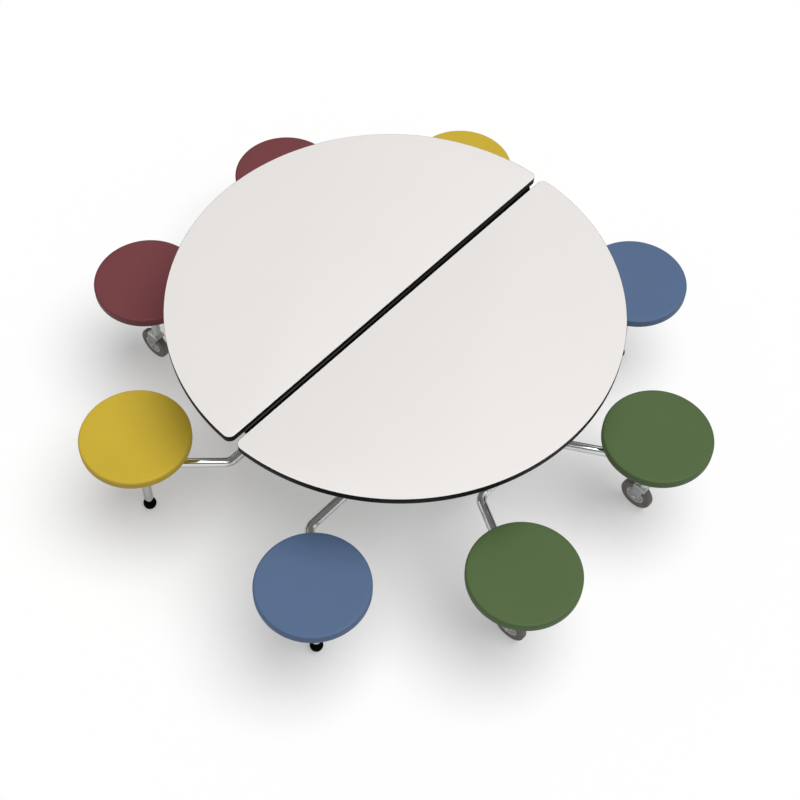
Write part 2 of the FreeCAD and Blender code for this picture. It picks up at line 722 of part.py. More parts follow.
def seat_swivel(label, side, x, y):
    """Plate under the seat, a collar that rides on the post's end, a spindle inside it."""
    body = new_body(label, x, y, "0", side)
    plate_top = "(seat_height - seat_thick)"
    plate_floor = plate_top + " - plate_thick"
    collar_floor = plate_floor + " - collar_height"
    pad(body, disc("0", "0", "plate_radius"), plate_floor, plate_top)
    pad(body, disc("0", "0", "collar_radius"), collar_floor, plate_floor)
    pad(body, disc("0", "0", "post_radius - post_wall - running_gap"),
        collar_floor + " - spindle_length", collar_floor)
    return keep(body)


# --------------------------------------------------------------------- casters

def caster_fork(label, x, y):
    """Swivelling fork: stem in the post, race, two legs, a hood and the wheel's axle."""
    body = new_body(label, x, y)
    trail = "-caster_trail"
    eye_level = "wheel_radius - fork_eye / 2"
    legs = [("-fork_back", "fork_top"), ("hood_front", "fork_top"), ("hood_front", "hood_foot"),
            ("fork_front", "hood_foot - 10"), ("fork_front", "fork_shoulder"),
            ("fork_eye - caster_trail - 1", eye_level), ("-fork_eye - caster_trail + 1", eye_level),
            ("-fork_back", "fork_shoulder")]
    pad(body, shape_of(legs), "-fork_outer", "fork_outer", "XZ_Plane")
    pad(body, disc(trail, "wheel_radius", "fork_eye"), "-fork_outer", "fork_outer", "XZ_Plane")
    pad(body, disc(trail, "wheel_radius", "axle_head"), "-axle_end", "axle_end", "XZ_Plane")

    def between_legs(top):
        return shape_of([("-fork_inner", "0"), ("fork_inner", "0"),
                         ("fork_inner", top), ("-fork_inner", top)])

    behind_hood = "hood_front - hood_wall"
    pocket(body, between_legs("fork_roof"), "-2 * fork_back", behind_hood, "YZ_Plane")
    pocket(body, between_legs("hood_foot"), behind_hood + " - 1", "2 * hood_front", "YZ_Plane")
    pad(body, disc(trail, "wheel_radius", "axle_radius - running_gap"),
        "-fork_outer", "fork_outer", "XZ_Plane")
    pad(body, disc("0", "0", "race_radius"), "fork_top - 1", "race_top")
    pad(body, disc("0", "0", "neck_radius"), "race_top", "neck_top")
    pad(body, disc("0", "0", "post_radius - post_wall - running_gap"), "neck_top", "stem_top")
    return keep(body)


def caster_rim(label, x, y):
    """Moulded wheel centre: rim ring, web and hub with the axle bore."""
    body = new_body(label, x + " - caster_trail", y, "wheel_radius")
    pad(body, ring("0", "0", "tyre_inner", "tyre_inner - rim_wall"),
        "-rim_width / 2", "rim_width / 2", "XZ_Plane")
    pad(body, disc("0", "0", "tyre_inner - rim_wall / 2"), "-web_width / 2", "web_width / 2",
        "XZ_Plane")
    pad(body, disc("0", "0", "hub_radius"), "-hub_width / 2", "hub_width / 2", "XZ_Plane")
    pocket(body, disc("0", "0", "axle_radius"), "-hub_width", "hub_width", "XZ_Plane")
    return keep(body)


def caster_tyre(label, x, y):
    """Rubber tyre with rounded shoulders."""
    body = new_body(label, x + " - caster_trail", y, "wheel_radius")
    pad(body, ring("0", "0", "wheel_radius", "tyre_inner"),
        "-tyre_width / 2", "tyre_width / 2", "XZ_Plane")
    outer = 2 * value("wheel_radius")
    round_edges(body, "tyre_round", lambda edge: edge.BoundBox.YLength < 0.01
                and abs(edge.BoundBox.ZLength - outer) < 0.01)
    return keep(body)


# ------------------------------------------------------------------- the table

gap_strip()
hinge_rod()
centre_post()
COLOURS = {"a": ("green", "blue"), "b": ("maroon", "yellow")}
for half in ("a", "b"):
    top_core(half)
    laminate(half)
    edge_band(half)
    pivot_clamps(half)
    top_screws(half)
    hinge_brackets(half)
    stay_bars(half)
    arm_tube("outer_arm_" + half, half, "outer_pivot_x", "outer_bend_y",
             "outer_seat_x", "outer_seat_y", "outer_arm_height", False)
    arm_tube("inner_arm_" + half, half, "inner_pivot_x", "inner_bend_y",
             "inner_seat_x", "inner_seat_y", "inner_arm_height", True)
    hoop("outer_hoop_" + half, half, "outer_pivot_x", "outer_hoop_y", "outer_arm_height", True)
    hoop("inner_hoop_" + half, half, "inner_pivot_x", "inner_hoop_y", "inner_arm_height", False)
    seat_posts("outer_posts_" + half, half, "outer_seat_x", "outer_seat_y",
               "outer_post_foot", False)
    seat_posts("inner_posts_" + half, half, "inner_seat_x", "inner_seat_y",
               "inner_post_foot", True)
    rubber_feet(half, "inner_seat_x", "inner_seat_y")
    outer_colour, inner_colour = COLOURS[half]
    for end, sign in (("back", 1), ("front", -1)):
        turned = sign if half == "a" else -sign
        minus = "" if turned > 0 else "-"
        rows = ((outer_colour, "outer_seat_x", minus + "outer_seat_y"),
                (inner_colour, "inner_seat_x", minus + "inner_seat_y"))
        for colour, x, y in rows:
            seat("seat_%s_%s" % (colour, end), half, x, y)
            seat_swivel("swivel_%s_%s" % (colour, end), half, x, y)
        caster_x = "outer_seat_x" if half == "a" else "-outer_seat_x"
        caster_y = "outer_seat_y" if sign > 0 else "-outer_seat_y"
        place = "%s_%s" % (outer_colour, end)
        caster_fork("caster_fork_" + place, caster_x, caster_y)
        caster_rim("caster_rim_" + place, caster_x, caster_y)
        caster_tyre("caster_tyre_" + place, caster_x, caster_y)

doc.recompute()
for item in doc.Objects:
    if "Invalid" in item.State or "Error" in item.State:
        raise RuntimeError("%s did not recompute" % item.Label)
os.makedirs("parts", exist_ok=True)
for item in sub_parts:
    shape = item.Shape
    if shape.isNull() or not shape.isValid() or shape.Volume <= 0:
        raise RuntimeError("%s has no valid shape" % item.Label)
    shape.exportStep(os.path.join("parts", item.Label + ".step"))
    print("%-26s solids %2d  volume %10.1f mm3" % (item.Label, len(shape.Solids), shape.Volume))
print(len(sub_parts), "nodes")
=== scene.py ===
import math

import bmesh
import bpy
import numpy as np
from mathutils import Matrix


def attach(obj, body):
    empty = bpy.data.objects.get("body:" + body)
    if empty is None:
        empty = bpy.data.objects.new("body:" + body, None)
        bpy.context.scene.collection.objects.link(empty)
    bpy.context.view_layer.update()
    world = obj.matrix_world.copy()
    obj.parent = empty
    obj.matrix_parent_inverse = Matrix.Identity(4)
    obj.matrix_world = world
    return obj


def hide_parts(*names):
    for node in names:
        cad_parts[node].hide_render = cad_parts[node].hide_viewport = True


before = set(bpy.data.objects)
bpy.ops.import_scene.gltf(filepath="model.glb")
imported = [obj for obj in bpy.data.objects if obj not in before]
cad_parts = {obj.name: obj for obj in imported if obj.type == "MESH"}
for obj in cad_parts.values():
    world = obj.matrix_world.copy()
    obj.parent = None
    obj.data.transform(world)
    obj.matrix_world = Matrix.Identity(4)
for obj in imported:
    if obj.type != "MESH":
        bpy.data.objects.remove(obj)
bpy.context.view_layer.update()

bl_info = {
    "name": "Folding table looks",
    "version": (1, 0, 0),
    "blender": (4, 5, 0),
    "location": "View3D > Sidebar > Folding table",
    "description": "Finished surfaces, materials and studio for a round folding table with seats",
    "category": "Object",
}

MM = 0.001
TAU = 2 * math.pi
WHITE = (1.0, 1.0, 1.0, 1.0)

# Sizes in millimetres, the same as those of the construction model.
TOP_RADIUS, GAP_HALF, CORNER_RADIUS = 760.0, 11.0, 25.0
TABLE_HEIGHT, LAMINATE_FLOOR, UNDERSIDE = 759.0, 757.8, 734.0
BAND_THICK, LAP = 2.0, 0.8
STRIP_HALF_LENGTH, STRIP_MIDDLE, STRIP_BEAD = 702.0, -2.6, 6.0
STRIP_FOOT, STRIP_WEB_LOW, STRIP_WEB_HIGH = 736.0, 742.0, 748.0
OUTER_PIVOT, INNER_PIVOT, PIVOT_HEIGHT = 541.0, 190.0, 714.0
ARM_RADIUS, ARM_WALL, ARM_BEND = 17.0, 2.0, 45.0
HOOP_RADIUS, HOOP_WALL, HOOP_BEND = 12.5, 2.0, 50.0
POST_RADIUS, POST_WALL, POST_TOP = 16.0, 2.0, 412.7
GLIDE_RADIUS, GLIDE_FOOT = 12.0, 14.0
SEAT_RADIUS, SEAT_TOP, SEAT_FLOOR = 190.0, 459.0, 426.0
WHEEL_RADIUS, TRAIL, FORK_EYE = 62.5, 20.0, 13.0
STAY_X, STAY_DROP, STUD_RADIUS, STUD_COLLAR = 35.0, 305.0, 6.0, 10.0
EAR_LOW, EAR_HIGH, EYE_RADIUS = 127.0, 133.0, 14.0

# Pivot clamps: x and distance from the middle; flange thickness; screws to either side.
CLAMPS = ((OUTER_PIVOT, 50.0), (INNER_PIVOT, 230.0))
CLAMP_FLANGE, CLAMP_SCREW = 6.0, 26.0

# Hinge brackets: distance of each plate's middle from the table's; flange; x of its screws.
HINGE_PLATES = {"a": 338.0, "b": 272.0}
HINGE_FLANGE, HINGE_SCREWS, HINGE_SCREW_STEP = 5.0, (36.0, 70.0), 12.5

# Screw heads, radius and height, and the circle of those under a seat.
WOOD_SCREW, SEAT_SCREW, SEAT_SCREW_CIRCLE = (4.5, 2.5), (5.0, 2.6), 62.0

# Each frame: pivot x, bend y, post x, post y, hoop half-width, arm height, foot of its posts.
FRAMES = {
    "outer": (OUTER_PIVOT, 161.0, 880.0, 355.0, 122.0, 301.0, 142.0),
    "inner": (INNER_PIVOT, 630.0, 413.0, 839.0, 330.0, 287.0, 58.0),
}
SEAT_COLOURS = {"a": {"outer": "green", "inner": "blue"},
                "b": {"outer": "maroon", "inner": "yellow"}}
HALVES = {"a": 1.0, "b": -1.0}

# The stage, in metres. Its floor lies just under the feet and tyres.
FLOOR_RADIUS, FLOOR_LEVEL = 60.0, -0.0002

# Black cards of the stage: radius and height of both long edges in metres, then the angles
# in degrees between which each card runs.
CARDS = (((3.0, 0.0), (3.0, 2.2), 52, 112), ((3.0, 0.0), (3.0, 2.2), 142, 208),
         ((0.9, 3.0), (1.8, 3.0), 120, 210), ((3.0, 1.7), (3.0, 3.0), -125, 25))


# ------------------------------------------------------------------ mesh helpers

def unit(vectors):
    """Vectors divided by their lengths, along the last axis."""
    vectors = np.asarray(vectors, float)
    return vectors / np.linalg.norm(vectors, axis=-1, keepdims=True)


def arc(start, end, steps):
    """Evenly spaced angles in radians from two angles in degrees."""
    return np.radians(np.linspace(start, end, steps))


class Skin:
    """A grid of points, rows x columns x 3, whose columns run round and join up.

    looped joins the last row to the first; capped closes both end rows with one face."""

    def __init__(self, grid, looped=False, capped=False):
        self.grid = np.asarray(grid, float)
        self.looped = looped
        self.capped = capped

    def moved(self, x=0.0, y=0.0, z=0.0, turn=1.0):
        """The same skin moved; turn -1 then carries it half round the upright axis."""
        grid = (self.grid + (x, y, z)) * (turn, turn, 1.0)
        return Skin(grid, self.looped, self.capped)

    def faces(self, first):
        """Quads between neighbouring points, numbered from the first point's number."""
        rows, columns = self.grid.shape[:2]
        upper = np.arange(rows if self.looped else rows - 1)
        i, j = np.meshgrid(upper, np.arange(columns), indexing="ij")
        below, right = (i + 1) % rows, (j + 1) % columns
        quads = np.stack([i * columns + j, i * columns + right,
                          below * columns + right, below * columns + j], axis=-1)
        made = (quads.reshape(-1, 4) + first).tolist()
        if self.capped:
            ring = np.arange(columns)
            made.append((ring[::-1] + first).tolist())
            made.append((ring + first + (rows - 1) * columns).tolist())
        return made


def make_piece(name, skins, material, body, slot, replaces=(), sharp=32.0):
    """Join skins into one closed mesh, point its faces outwards and ride it on a body."""
    points, faces, first = [], [], 0
    for skin in skins:
        flat = skin.grid.reshape(-1, 3)
        faces += skin.faces(first)
        points.append(flat)
        first += len(flat)
    mesh = bpy.data.meshes.new(name)
    mesh.from_pydata((np.concatenate(points) * MM).tolist(), [], faces)
    work = bmesh.new()
    work.from_mesh(mesh)
    bmesh.ops.remove_doubles(work, verts=work.verts, dist=2e-7)
    bmesh.ops.recalc_face_normals(work, faces=work.faces)
    work.to_mesh(mesh)
    work.free()
    mesh.shade_smooth()
    mesh.set_sharp_from_angle(angle=math.radians(sharp))
    return place_piece(name, mesh, material, body, replaces)


def place_piece(name, mesh, material, body, replaces):
    """Put a mesh in the scene as a piece of the table."""
    piece = bpy.data.objects.new(name, mesh)
    bpy.context.scene.collection.objects.link(piece)
    mesh.materials.clear()
    mesh.materials.append(material)
    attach(piece, body)
    if replaces:
        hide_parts(*replaces)
    return piece


def softened(node, name, material, body, width):
    """A merged copy of a construction node with its hard edges bevelled."""
    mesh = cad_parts[node].data.copy()
    work = bmesh.new()
    work.from_mesh(mesh)
    bmesh.ops.remove_doubles(work, verts=work.verts, dist=1e-6)
    bmesh.ops.dissolve_limit(work, angle_limit=math.radians(0.3),
                             verts=work.verts, edges=work.edges)
    work.to_mesh(mesh)
    work.free()
    mesh.shade_smooth()
    piece = place_piece(name, mesh, material, body, (node,))
    bevel = piece.modifiers.new("softened edges", "BEVEL")
    bevel.width = width * MM
    bevel.segments = 2
    bevel.limit_method = "ANGLE"
    bevel.angle_limit = math.radians(28)
    bevel.harden_normals = True
    return piece


def route(corners, bend, steps=18):
    """Points and directions along straight runs joined by tangent arcs.

    An arc's points are its centre + bend * (sin a * middle direction - cos a * inward)."""
    corners = np.asarray(corners, float)
    ahead_first, ahead_last = unit(corners[1] - corners[0]), unit(corners[-1] - corners[-2])
    points, ahead = [corners[:1]], [ahead_first[None]]
    for before, corner, after in zip(corners, corners[1:], corners[2:]):
        into, out = unit(corner - before), unit(after - corner)
        turn = math.acos(float(np.clip(into @ out, -1, 1)))
        inward, middle = unit(out - into), unit(into + out)
        centre = corner + inward * bend / math.cos(turn / 2)
        a = np.linspace(-turn / 2, turn / 2, steps)[:, None]
        points.append(centre + bend * (middle * np.sin(a) - inward * np.cos(a)))
        ahead.append(middle * np.cos(a) + inward * np.sin(a))
    points.append(corners[-1:])
    ahead.append(ahead_last[None])
    return np.concatenate(points), np.concatenate(ahead)


def rings(points, ahead, normal, radius, sides=64):
    """Circles round a path: point + radius * (cos a * across + sin a * normal)."""
    across = np.cross(normal, ahead)
    a = np.linspace(0, TAU, sides, endpoint=False)
    ring = np.cos(a)[None, :, None] * across[:, None] + np.sin(a)[None, :, None] * normal
    radius = np.broadcast_to(np.asarray(radius, float), (len(points),))
    return points[:, None] + radius[:, None, None] * ring


def coped(grid, ends, ahead, other, radius):
    """Shape both end rings of a tube to sit on a round member of the given radius.

    Each point goes back along the tube by sqrt(radius^2 - s^2), where s is its distance
    from the plane through the tube's end and the other member's axis."""
    grid = grid.copy()
    for row, sign in ((0, 1.0), (-1, -1.0)):
        side = unit(np.cross(ahead[row], other))
        s = (grid[row] - ends[row]) @ side
        back = np.sqrt(np.maximum(radius ** 2 - s ** 2, 0))
        grid[row] += sign * back[:, None] * ahead[row]
    return grid


def pipe(corners, bend, normal, radius, wall, other, seat_radius, sides=64):
    """A bent tube with a bore, its ends coped onto members that run along `other`."""
    points, ahead = route(corners, bend)
    outside = rings(points, ahead, np.asarray(normal, float), radius, sides)
    bore = rings(points, ahead, np.asarray(normal, float), radius - wall, sides)
    outside = coped(outside, points, ahead, other, seat_radius)
    bore = coped(bore, points, ahead, other, seat_radius)
    return Skin(np.concatenate([outside, bore[::-1]]), looped=True)


def weld(end, ahead, other, radius, seat_radius, bead=2.1, ripples=46):
    """A rippled bead where a tube meets a round member.

    Its line is end + radius * circle - sqrt(seat_radius^2 - s^2) * ahead; its section is a
    circle that swells with cos(ripples * angle) along the line."""
    ahead, other = unit(ahead), unit(other)
    side = unit(np.cross(ahead, other))
    a = np.linspace(0, TAU, 184, endpoint=False)
    s = radius * np.cos(a)
    back = np.sqrt(np.maximum(seat_radius ** 2 - s ** 2, 0))
    line = end + s[:, None] * side + (radius * np.sin(a))[:, None] * other
    line = line - back[:, None] * ahead
    along = unit(np.roll(line, -1, axis=0) - np.roll(line, 1, axis=0))
    out = np.cos(a)[:, None] * side + np.sin(a)[:, None] * other
    out = unit(out - (out * along).sum(1, keepdims=True) * along)
    third = np.cross(along, out)
    size = bead * (1 + 0.14 * np.cos(ripples * a))
    b = np.linspace(0, TAU, 10, endpoint=False)
    ring = np.cos(b)[None, :, None] * out[:, None] + np.sin(b)[None, :, None] * third[:, None]
    return Skin(line[:, None] + size[:, None, None] * ring, looped=True)


def lathe(profile, centre, axis="z", sides=72, looped=False):
    """A profile of (radius, height) pairs turned round an axis through the centre.

    Round Z a pair gives (r * cos a, r * sin a, h); round Y it gives (r * sin a, h, r * cos a)."""
    profile = np.asarray(profile, float)
    a = np.linspace(0, TAU, sides, endpoint=False)
    r, h = profile[:, :1], np.broadcast_to(profile[:, 1:], (len(profile), sides))
    one, two = r * np.cos(a), r * np.sin(a)
    order = (one, two, h) if axis == "z" else (two, h, one)
    return Skin(np.stack(order, axis=-1) + centre, looped=looped)


def rounded(points, radius, steps=5):
    """A profile of (radius, height) pairs whose inner corners are rounded.

    Round a corner, t goes from 0 to 1: (1 - t)^2 * start + 2 t (1 - t) * corner + t^2 * end."""
    points = np.asarray(points, float)
    made = [points[0]]
    for before, corner, after in zip(points, points[1:], points[2:]):
        into, out = corner - before, after - corner
        reach = min(radius, 0.45 * np.linalg.norm(into), 0.45 * np.linalg.norm(out))
        start, end = corner - unit(into) * reach, corner + unit(out) * reach
        t = np.linspace(0, 1, steps)[:, None]
        made += list((1 - t) ** 2 * start + 2 * t * (1 - t) * corner + t ** 2 * end)
    made.append(points[-1])
    return np.array(made)


def drawn_in(outline, inset):
    """A closed outline moved inwards: each point goes along the mean of its two edge
    normals, divided by 1 + their dot product, so that both edges move by the inset."""
    step = np.roll(outline, -1, axis=0) - outline
    normal = unit(np.stack([-step[:, 1], step[:, 0]], axis=1))
    before = np.roll(normal, 1, axis=0)
    share = 1 + (normal * before).sum(1, keepdims=True)
    return outline + inset * (normal + before) / share


def slab(outline, low, high, bevel=0.6, axis="y", steps=4):
    """A plate: an anticlockwise outline carried from low to high, its two arrises rounded
    by insets bevel * (1 - sin a) at heights bevel * (1 - cos a) from each face."""
    outline = np.asarray(outline, float)
    a = arc(0, 90, steps)
    inset = bevel * (1 - np.sin(a))
    rise = bevel * (1 - np.cos(a))
    rows = [(i, low + r) for i, r in zip(inset, rise)]
    rows += [(i, high - r) for i, r in zip(inset[::-1], rise[::-1])]
    made = []
    for amount, level in rows:
        flat = drawn_in(outline, amount)
        level = np.full(len(flat), level)
        pair = (flat[:, 0], level, flat[:, 1]) if axis == "y" else (flat[:, 0], flat[:, 1], level)
        made.append(np.stack(pair, axis=1))
    return Skin(np.array(made), capped=True)


def half_outline(inset):
    """Outline of one half top: corner arc, rim arc, corner arc, straight edge.

    A corner arc's centre lies its radius from the straight edge and TOP_RADIUS less its
    radius from the rim's centre, so its distance along the edge is a right triangle's side."""
    reach = math.sqrt((TOP_RADIUS - CORNER_RADIUS) ** 2 - CORNER_RADIUS ** 2)
    swing = math.degrees(math.atan2(reach, CORNER_RADIUS))
    corner_x, edge = GAP_HALF + CORNER_RADIUS, GAP_HALF + inset

    def bow(x, y, radius, start, end, steps):
        a = arc(start, end, steps)
        return np.stack([x + radius * np.cos(a), y + radius * np.sin(a)], axis=1)

    straight = np.linspace(reach, -reach, 41)[1:-1]
    small = CORNER_RADIUS - inset
    return np.concatenate([
        bow(corner_x, -reach, small, 180, 360 - swing, 22)[:-1],
        bow(GAP_HALF, 0, TOP_RADIUS - inset, -swing, swing, 361)[:-1],
        bow(corner_x, reach, small, swing, 180, 22),
        np.stack([np.full(39, edge), straight], axis=1)])


def smooth_step(values, low, high):
    """Smooth 0 to 1 as the values go from low to high: s^2 * (3 - 2 s)."""
    s = np.clip((values - low) / (high - low), 0, 1)
    return s * s * (3 - 2 * s)


def rim_skin(profile, looped=True, capped=False):
    """The half top's outline drawn in by each profile pair's inset, at its height."""
    made = []
    for inset, height in profile:
        flat = half_outline(inset)
        made.append(np.column_stack([flat, np.full(len(flat), height)]))
    return Skin(np.array(made), looped=looped, capped=capped)


# -------------------------------------------------------------- shader expressions

def linear(red, green, blue):
    """Display values from 0 to 255 as linear light, with full alpha."""
    values = np.array([red, green, blue]) / 255
    light = np.where(values <= 0.04045, values / 12.92, ((values + 0.055) / 1.055) ** 2.4)
    return (*map(float, light), 1.0)


class Wire:
    """An output socket. Arithmetic on it adds Math nodes to its material."""

    def __init__(self, shade, socket):
        self.shade = shade
        self.socket = socket

    def _math(self, operation, one, two):
        return self.shade.add("ShaderNodeMath", {"operation": operation}, {0: one, 1: two})

    def __add__(self, other):
        return self._math("ADD", self, other)

    __radd__ = __add__

    def __sub__(self, other):
        return self._math("SUBTRACT", self, other)

    def __rsub__(self, other):
        return self._math("SUBTRACT", other, self)

    def __mul__(self, other):
        return self._math("MULTIPLY", self, other)

    __rmul__ = __mul__


class Nodes:
    """A node tree, built from expressions."""

    def __init__(self, tree):
        self.tree = tree

    def add(self, kind, settings=None, values=None, output=0):
        """A node of that kind: its settings first, then its sockets; gives one output."""
        node = self.tree.nodes.new(kind)
        for key, value in (settings or {}).items():
            setattr(node, key, value)
        for key, value in (values or {}).items():
            self.join(value, node.inputs[key])
        return Wire(self, node.outputs[output])

    def join(self, value, socket):
        """Link a wire to a socket, or write a plain value on it."""
        if isinstance(value, Wire):
            self.tree.links.new(value.socket, socket)
        else:
            socket.default_value = value

    def rays(self):
        """1 for camera rays, and 1 for the rays by which metal and glass see."""
        path = self.add("ShaderNodeLightPath").socket.node
        camera, glossy, through = (Wire(self, path.outputs[name]) for name in
                                   ("Is Camera Ray", "Is Glossy Ray", "Is Transmission Ray"))
        return camera, glossy + through


class Shade(Nodes):
    """A material whose surface is one Principled shader."""

    def __init__(self, name, **fixed):
        self.material = bpy.data.materials.new(name)
        self.material.use_nodes = True
        super().__init__(self.material.node_tree)
        self.surface = self.tree.nodes["Principled BSDF"]
        for key, value in fixed.items():
            socket = key.replace("_", " ").title().replace("Ior", "IOR")
            self.surface.inputs[socket].default_value = value

    def place(self, scale=(1, 1, 1), centre=(0, 0, 0), turn=(0, 0, 0)):
        """Object coordinates in metres from a centre, turned and then stretched."""
        spot = self.add("ShaderNodeTexCoord", output=3)
        moved = self.add("ShaderNodeMapping", {"vector_type": "TEXTURE"},
                         {"Vector": spot, "Location": centre, "Rotation": turn})
        return self.add("ShaderNodeMapping", None, {"Vector": moved, "Scale": scale})

    def noise(self, place, scale, detail=3.0, roughness=0.55, distortion=0.0):
        """Soft noise from 0 to 1 with that many waves to the metre."""
        return self.add("ShaderNodeTexNoise", None,
                        {"Vector": place, "Scale": scale, "Detail": detail,
                         "Roughness": roughness, "Distortion": distortion})

    def cells(self, place, scale, feature="F1"):
        """Distance to the nearest of scattered points."""
        return self.add("ShaderNodeTexVoronoi", {"feature": feature},
                        {"Vector": place, "Scale": scale})

    def step(self, value, low, high):
        """Smooth 0 to 1 as the value goes from low to high."""
        return self.add("ShaderNodeMapRange", {"interpolation_type": "SMOOTHSTEP"},
                        {0: value, 1: low, 2: high, 3: 0.0, 4: 1.0})

    def blend(self, factor, one, two):
        """Colour that goes from one to two with the factor."""
        return self.add("ShaderNodeMix", {"data_type": "RGBA"}, {0: factor, 6: one, 7: two},
                        output=2)

    def parts(self, vector):
        """The three numbers of a vector."""
        first = self.add("ShaderNodeSeparateXYZ", None, {0: vector})
        return [Wire(self, first.socket.node.outputs[i]) for i in range(3)]

    def relief(self, height, distance, strength=1.0):
        """Bump of that many metres for a height from 0 to 1, fed to the surface."""
        normal = self.add("ShaderNodeBump", None,
                          {"Height": height, "Distance": distance, "Strength": strength})
        self.join(normal, self.surface.inputs["Normal"])

    def finish(self, colour, roughness):
        """Feed colour and roughness to the surface and hand over the material."""
        self.join(colour, self.surface.inputs["Base Color"])
        self.join(roughness, self.surface.inputs["Roughness"])
        return self.material


def shifted(colour, factor):
    """A colour made lighter or darker by a factor."""
    return (*[min(channel * factor, 1.0) for channel in colour[:3]], 1.0)


# --------------------------------------------------------------------- materials

def laminate_finish(name, colour):
    """White hard laminate: pearl texture, faint clouding and a few fine wipe marks."""
    shade = Shade(name)
    place = shade.place()
    cloud = shade.noise(place, 3.2, 4.0)
    pearl = shade.noise(place, 620.0, 2.0)
    fleck = shade.step(shade.cells(place, 240.0), 0.10, 0.02)
    wipe = shade.noise(shade.place((3.0, 90.0, 1.0), turn=(0, 0, 0.9)), 1.6, 5.0, 0.7)
    tone = shade.blend(cloud, shifted(colour, 0.988), shifted(colour, 1.008))
    tone = shade.blend(fleck * 0.10, tone, shifted(colour, 0.90))
    shade.relief(pearl * 0.7 + shade.noise(place, 210.0, 2.0) * 0.3, 0.00007, 0.5)
    return shade.finish(tone, 0.40 + 0.10 * cloud + 0.10 * shade.step(wipe, 0.50, 0.75))


def moulding_finish(name, colour, grain, shine, specular=0.5):
    """Black extruded or moulded plastic: fine grain, dusty patches, rubbed streaks."""
    shade = Shade(name, specular_ior_level=specular)
    place = shade.place()
    dust = shade.noise(place, 14.0, 4.0)
    fine = shade.noise(place, grain, 3.0, 0.65)
    streak = shade.noise(shade.place((40.0, 2.0, 40.0)), 3.0, 3.0)
    tone = shade.blend(shade.step(dust, 0.45, 0.85) * 0.5, colour, shifted(colour, 1.9))
    tone = shade.blend(shade.step(streak, 0.6, 0.8) * 0.25, tone, shifted(colour, 2.4))
    shade.relief(fine, 0.00012, 0.45)
    return shade.finish(tone, shine + 0.14 * dust + 0.08 * fine)


def board_finish(name, colour):
    """Pale backing sheet of the board: matt paper grain, rubbed and slightly mottled."""
    shade = Shade(name, specular_ior_level=0.3)
    place = shade.place()
    fibre = shade.noise(shade.place((70.0, 12.0, 70.0)), 6.0, 5.0, 0.7)
    cloud = shade.noise(place, 6.0, 5.0)
    rub = shade.step(shade.noise(shade.place((1.0, 6.0, 1.0), turn=(0, 0, 0.6)), 5.0, 6.0, 0.7),
                     0.58, 0.82)
    tone = shade.blend(cloud, shifted(colour, 0.94), shifted(colour, 1.04))
    tone = shade.blend(shade.step(fibre, 0.4, 0.8) * 0.3, tone, shifted(colour, 0.82))
    tone = shade.blend(rub * 0.25, tone, shifted(colour, 0.7))
    shade.relief(fibre * 0.7 + cloud * 0.3, 0.0002, 0.5)
    return shade.finish(tone, 0.55 + 0.2 * fibre)


def chrome_finish(name, colour, base_roughness=0.03):
    """Polished chrome: handling haze, faint draw lines, a slight orange peel."""
    shade = Shade(name, metallic=1.0)
    place = shade.place()
    haze = shade.noise(place, 11.0, 5.0, 0.6)
    smear = shade.step(shade.noise(place, 38.0, 4.0, 0.7, 0.8), 0.52, 0.78)
    peel = shade.noise(place, 95.0, 2.0)
    scratch = shade.step(shade.cells(shade.place((1.0, 1.0, 22.0), turn=(0.7, 0.4, 0.2)), 46.0),
                         0.05, 0.01)
    pits = shade.step(shade.cells(place, 300.0), 0.07, 0.02) * shade.step(haze, 0.55, 0.7)
    tone = shade.blend(haze, shifted(colour, 0.96), shifted(colour, 1.03))
    tone = shade.blend(pits * 0.5, tone, shifted(colour, 0.45))
    shade.relief(peel * 0.85 + haze * 0.15, 0.00006, 0.35)
    rough = base_roughness + 0.03 * haze + 0.06 * smear + 0.12 * scratch + 0.2 * pits
    return shade.finish(tone, rough)


def zinc_finish(name, colour):
    """Zinc plated steel: crystalline mottling, brushed grain and dull patches."""
    shade = Shade(name, metallic=1.0)
    place = shade.place()
    spangle = shade.add("ShaderNodeTexVoronoi", {"feature": "F1"},
                        {"Vector": place, "Scale": 210.0}, output=1)
    flake = shade.add("ShaderNodeSeparateColor", None, {0: spangle})
    brush = shade.noise(shade.place((12.0, 12.0, 160.0)), 6.0, 4.0, 0.7)
    dull = shade.step(shade.noise(place, 24.0, 5.0, 0.65), 0.42, 0.72)
    tone = shade.blend(flake, shifted(colour, 0.84), shifted(colour, 1.12))
    tone = shade.blend(dull * 0.55, tone, shifted(colour, 0.62))
    shade.relief(brush * 0.6 + flake * 0.4, 0.00005, 0.5)
    return shade.finish(tone, 0.22 + 0.10 * flake + 0.16 * dull + 0.08 * brush)


def seat_finish(name, colour):
    """Satin moulded seat: pebble grain, soft flow clouding and worn, paler scuffs."""
    shade = Shade(name, specular_ior_level=0.2)
    place = shade.place()
    cloud = shade.noise(place, 6.0, 4.0, 0.6, 0.4)
    pebble = shade.cells(place, 560.0, "SMOOTH_F1")
    grain = shade.noise(place, 1100.0, 2.0)
    scuff = shade.step(shade.noise(shade.place((1.0, 14.0, 1.0), turn=(0, 0, 0.5)),
                                   9.0, 6.0, 0.75), 0.62, 0.86)
    rub = shade.step(shade.noise(place, 17.0, 5.0, 0.7), 0.55, 0.8)
    tone = shade.blend(cloud, shifted(colour, 0.95), shifted(colour, 1.05))
    tone = shade.blend(scuff * 0.12, tone, shifted(colour, 1.55))
    shade.relief(pebble * 0.75 + grain * 0.25, 0.00016, 0.55)
    return shade.finish(tone, 0.46 + 0.10 * rub + 0.08 * cloud - 0.06 * scuff)


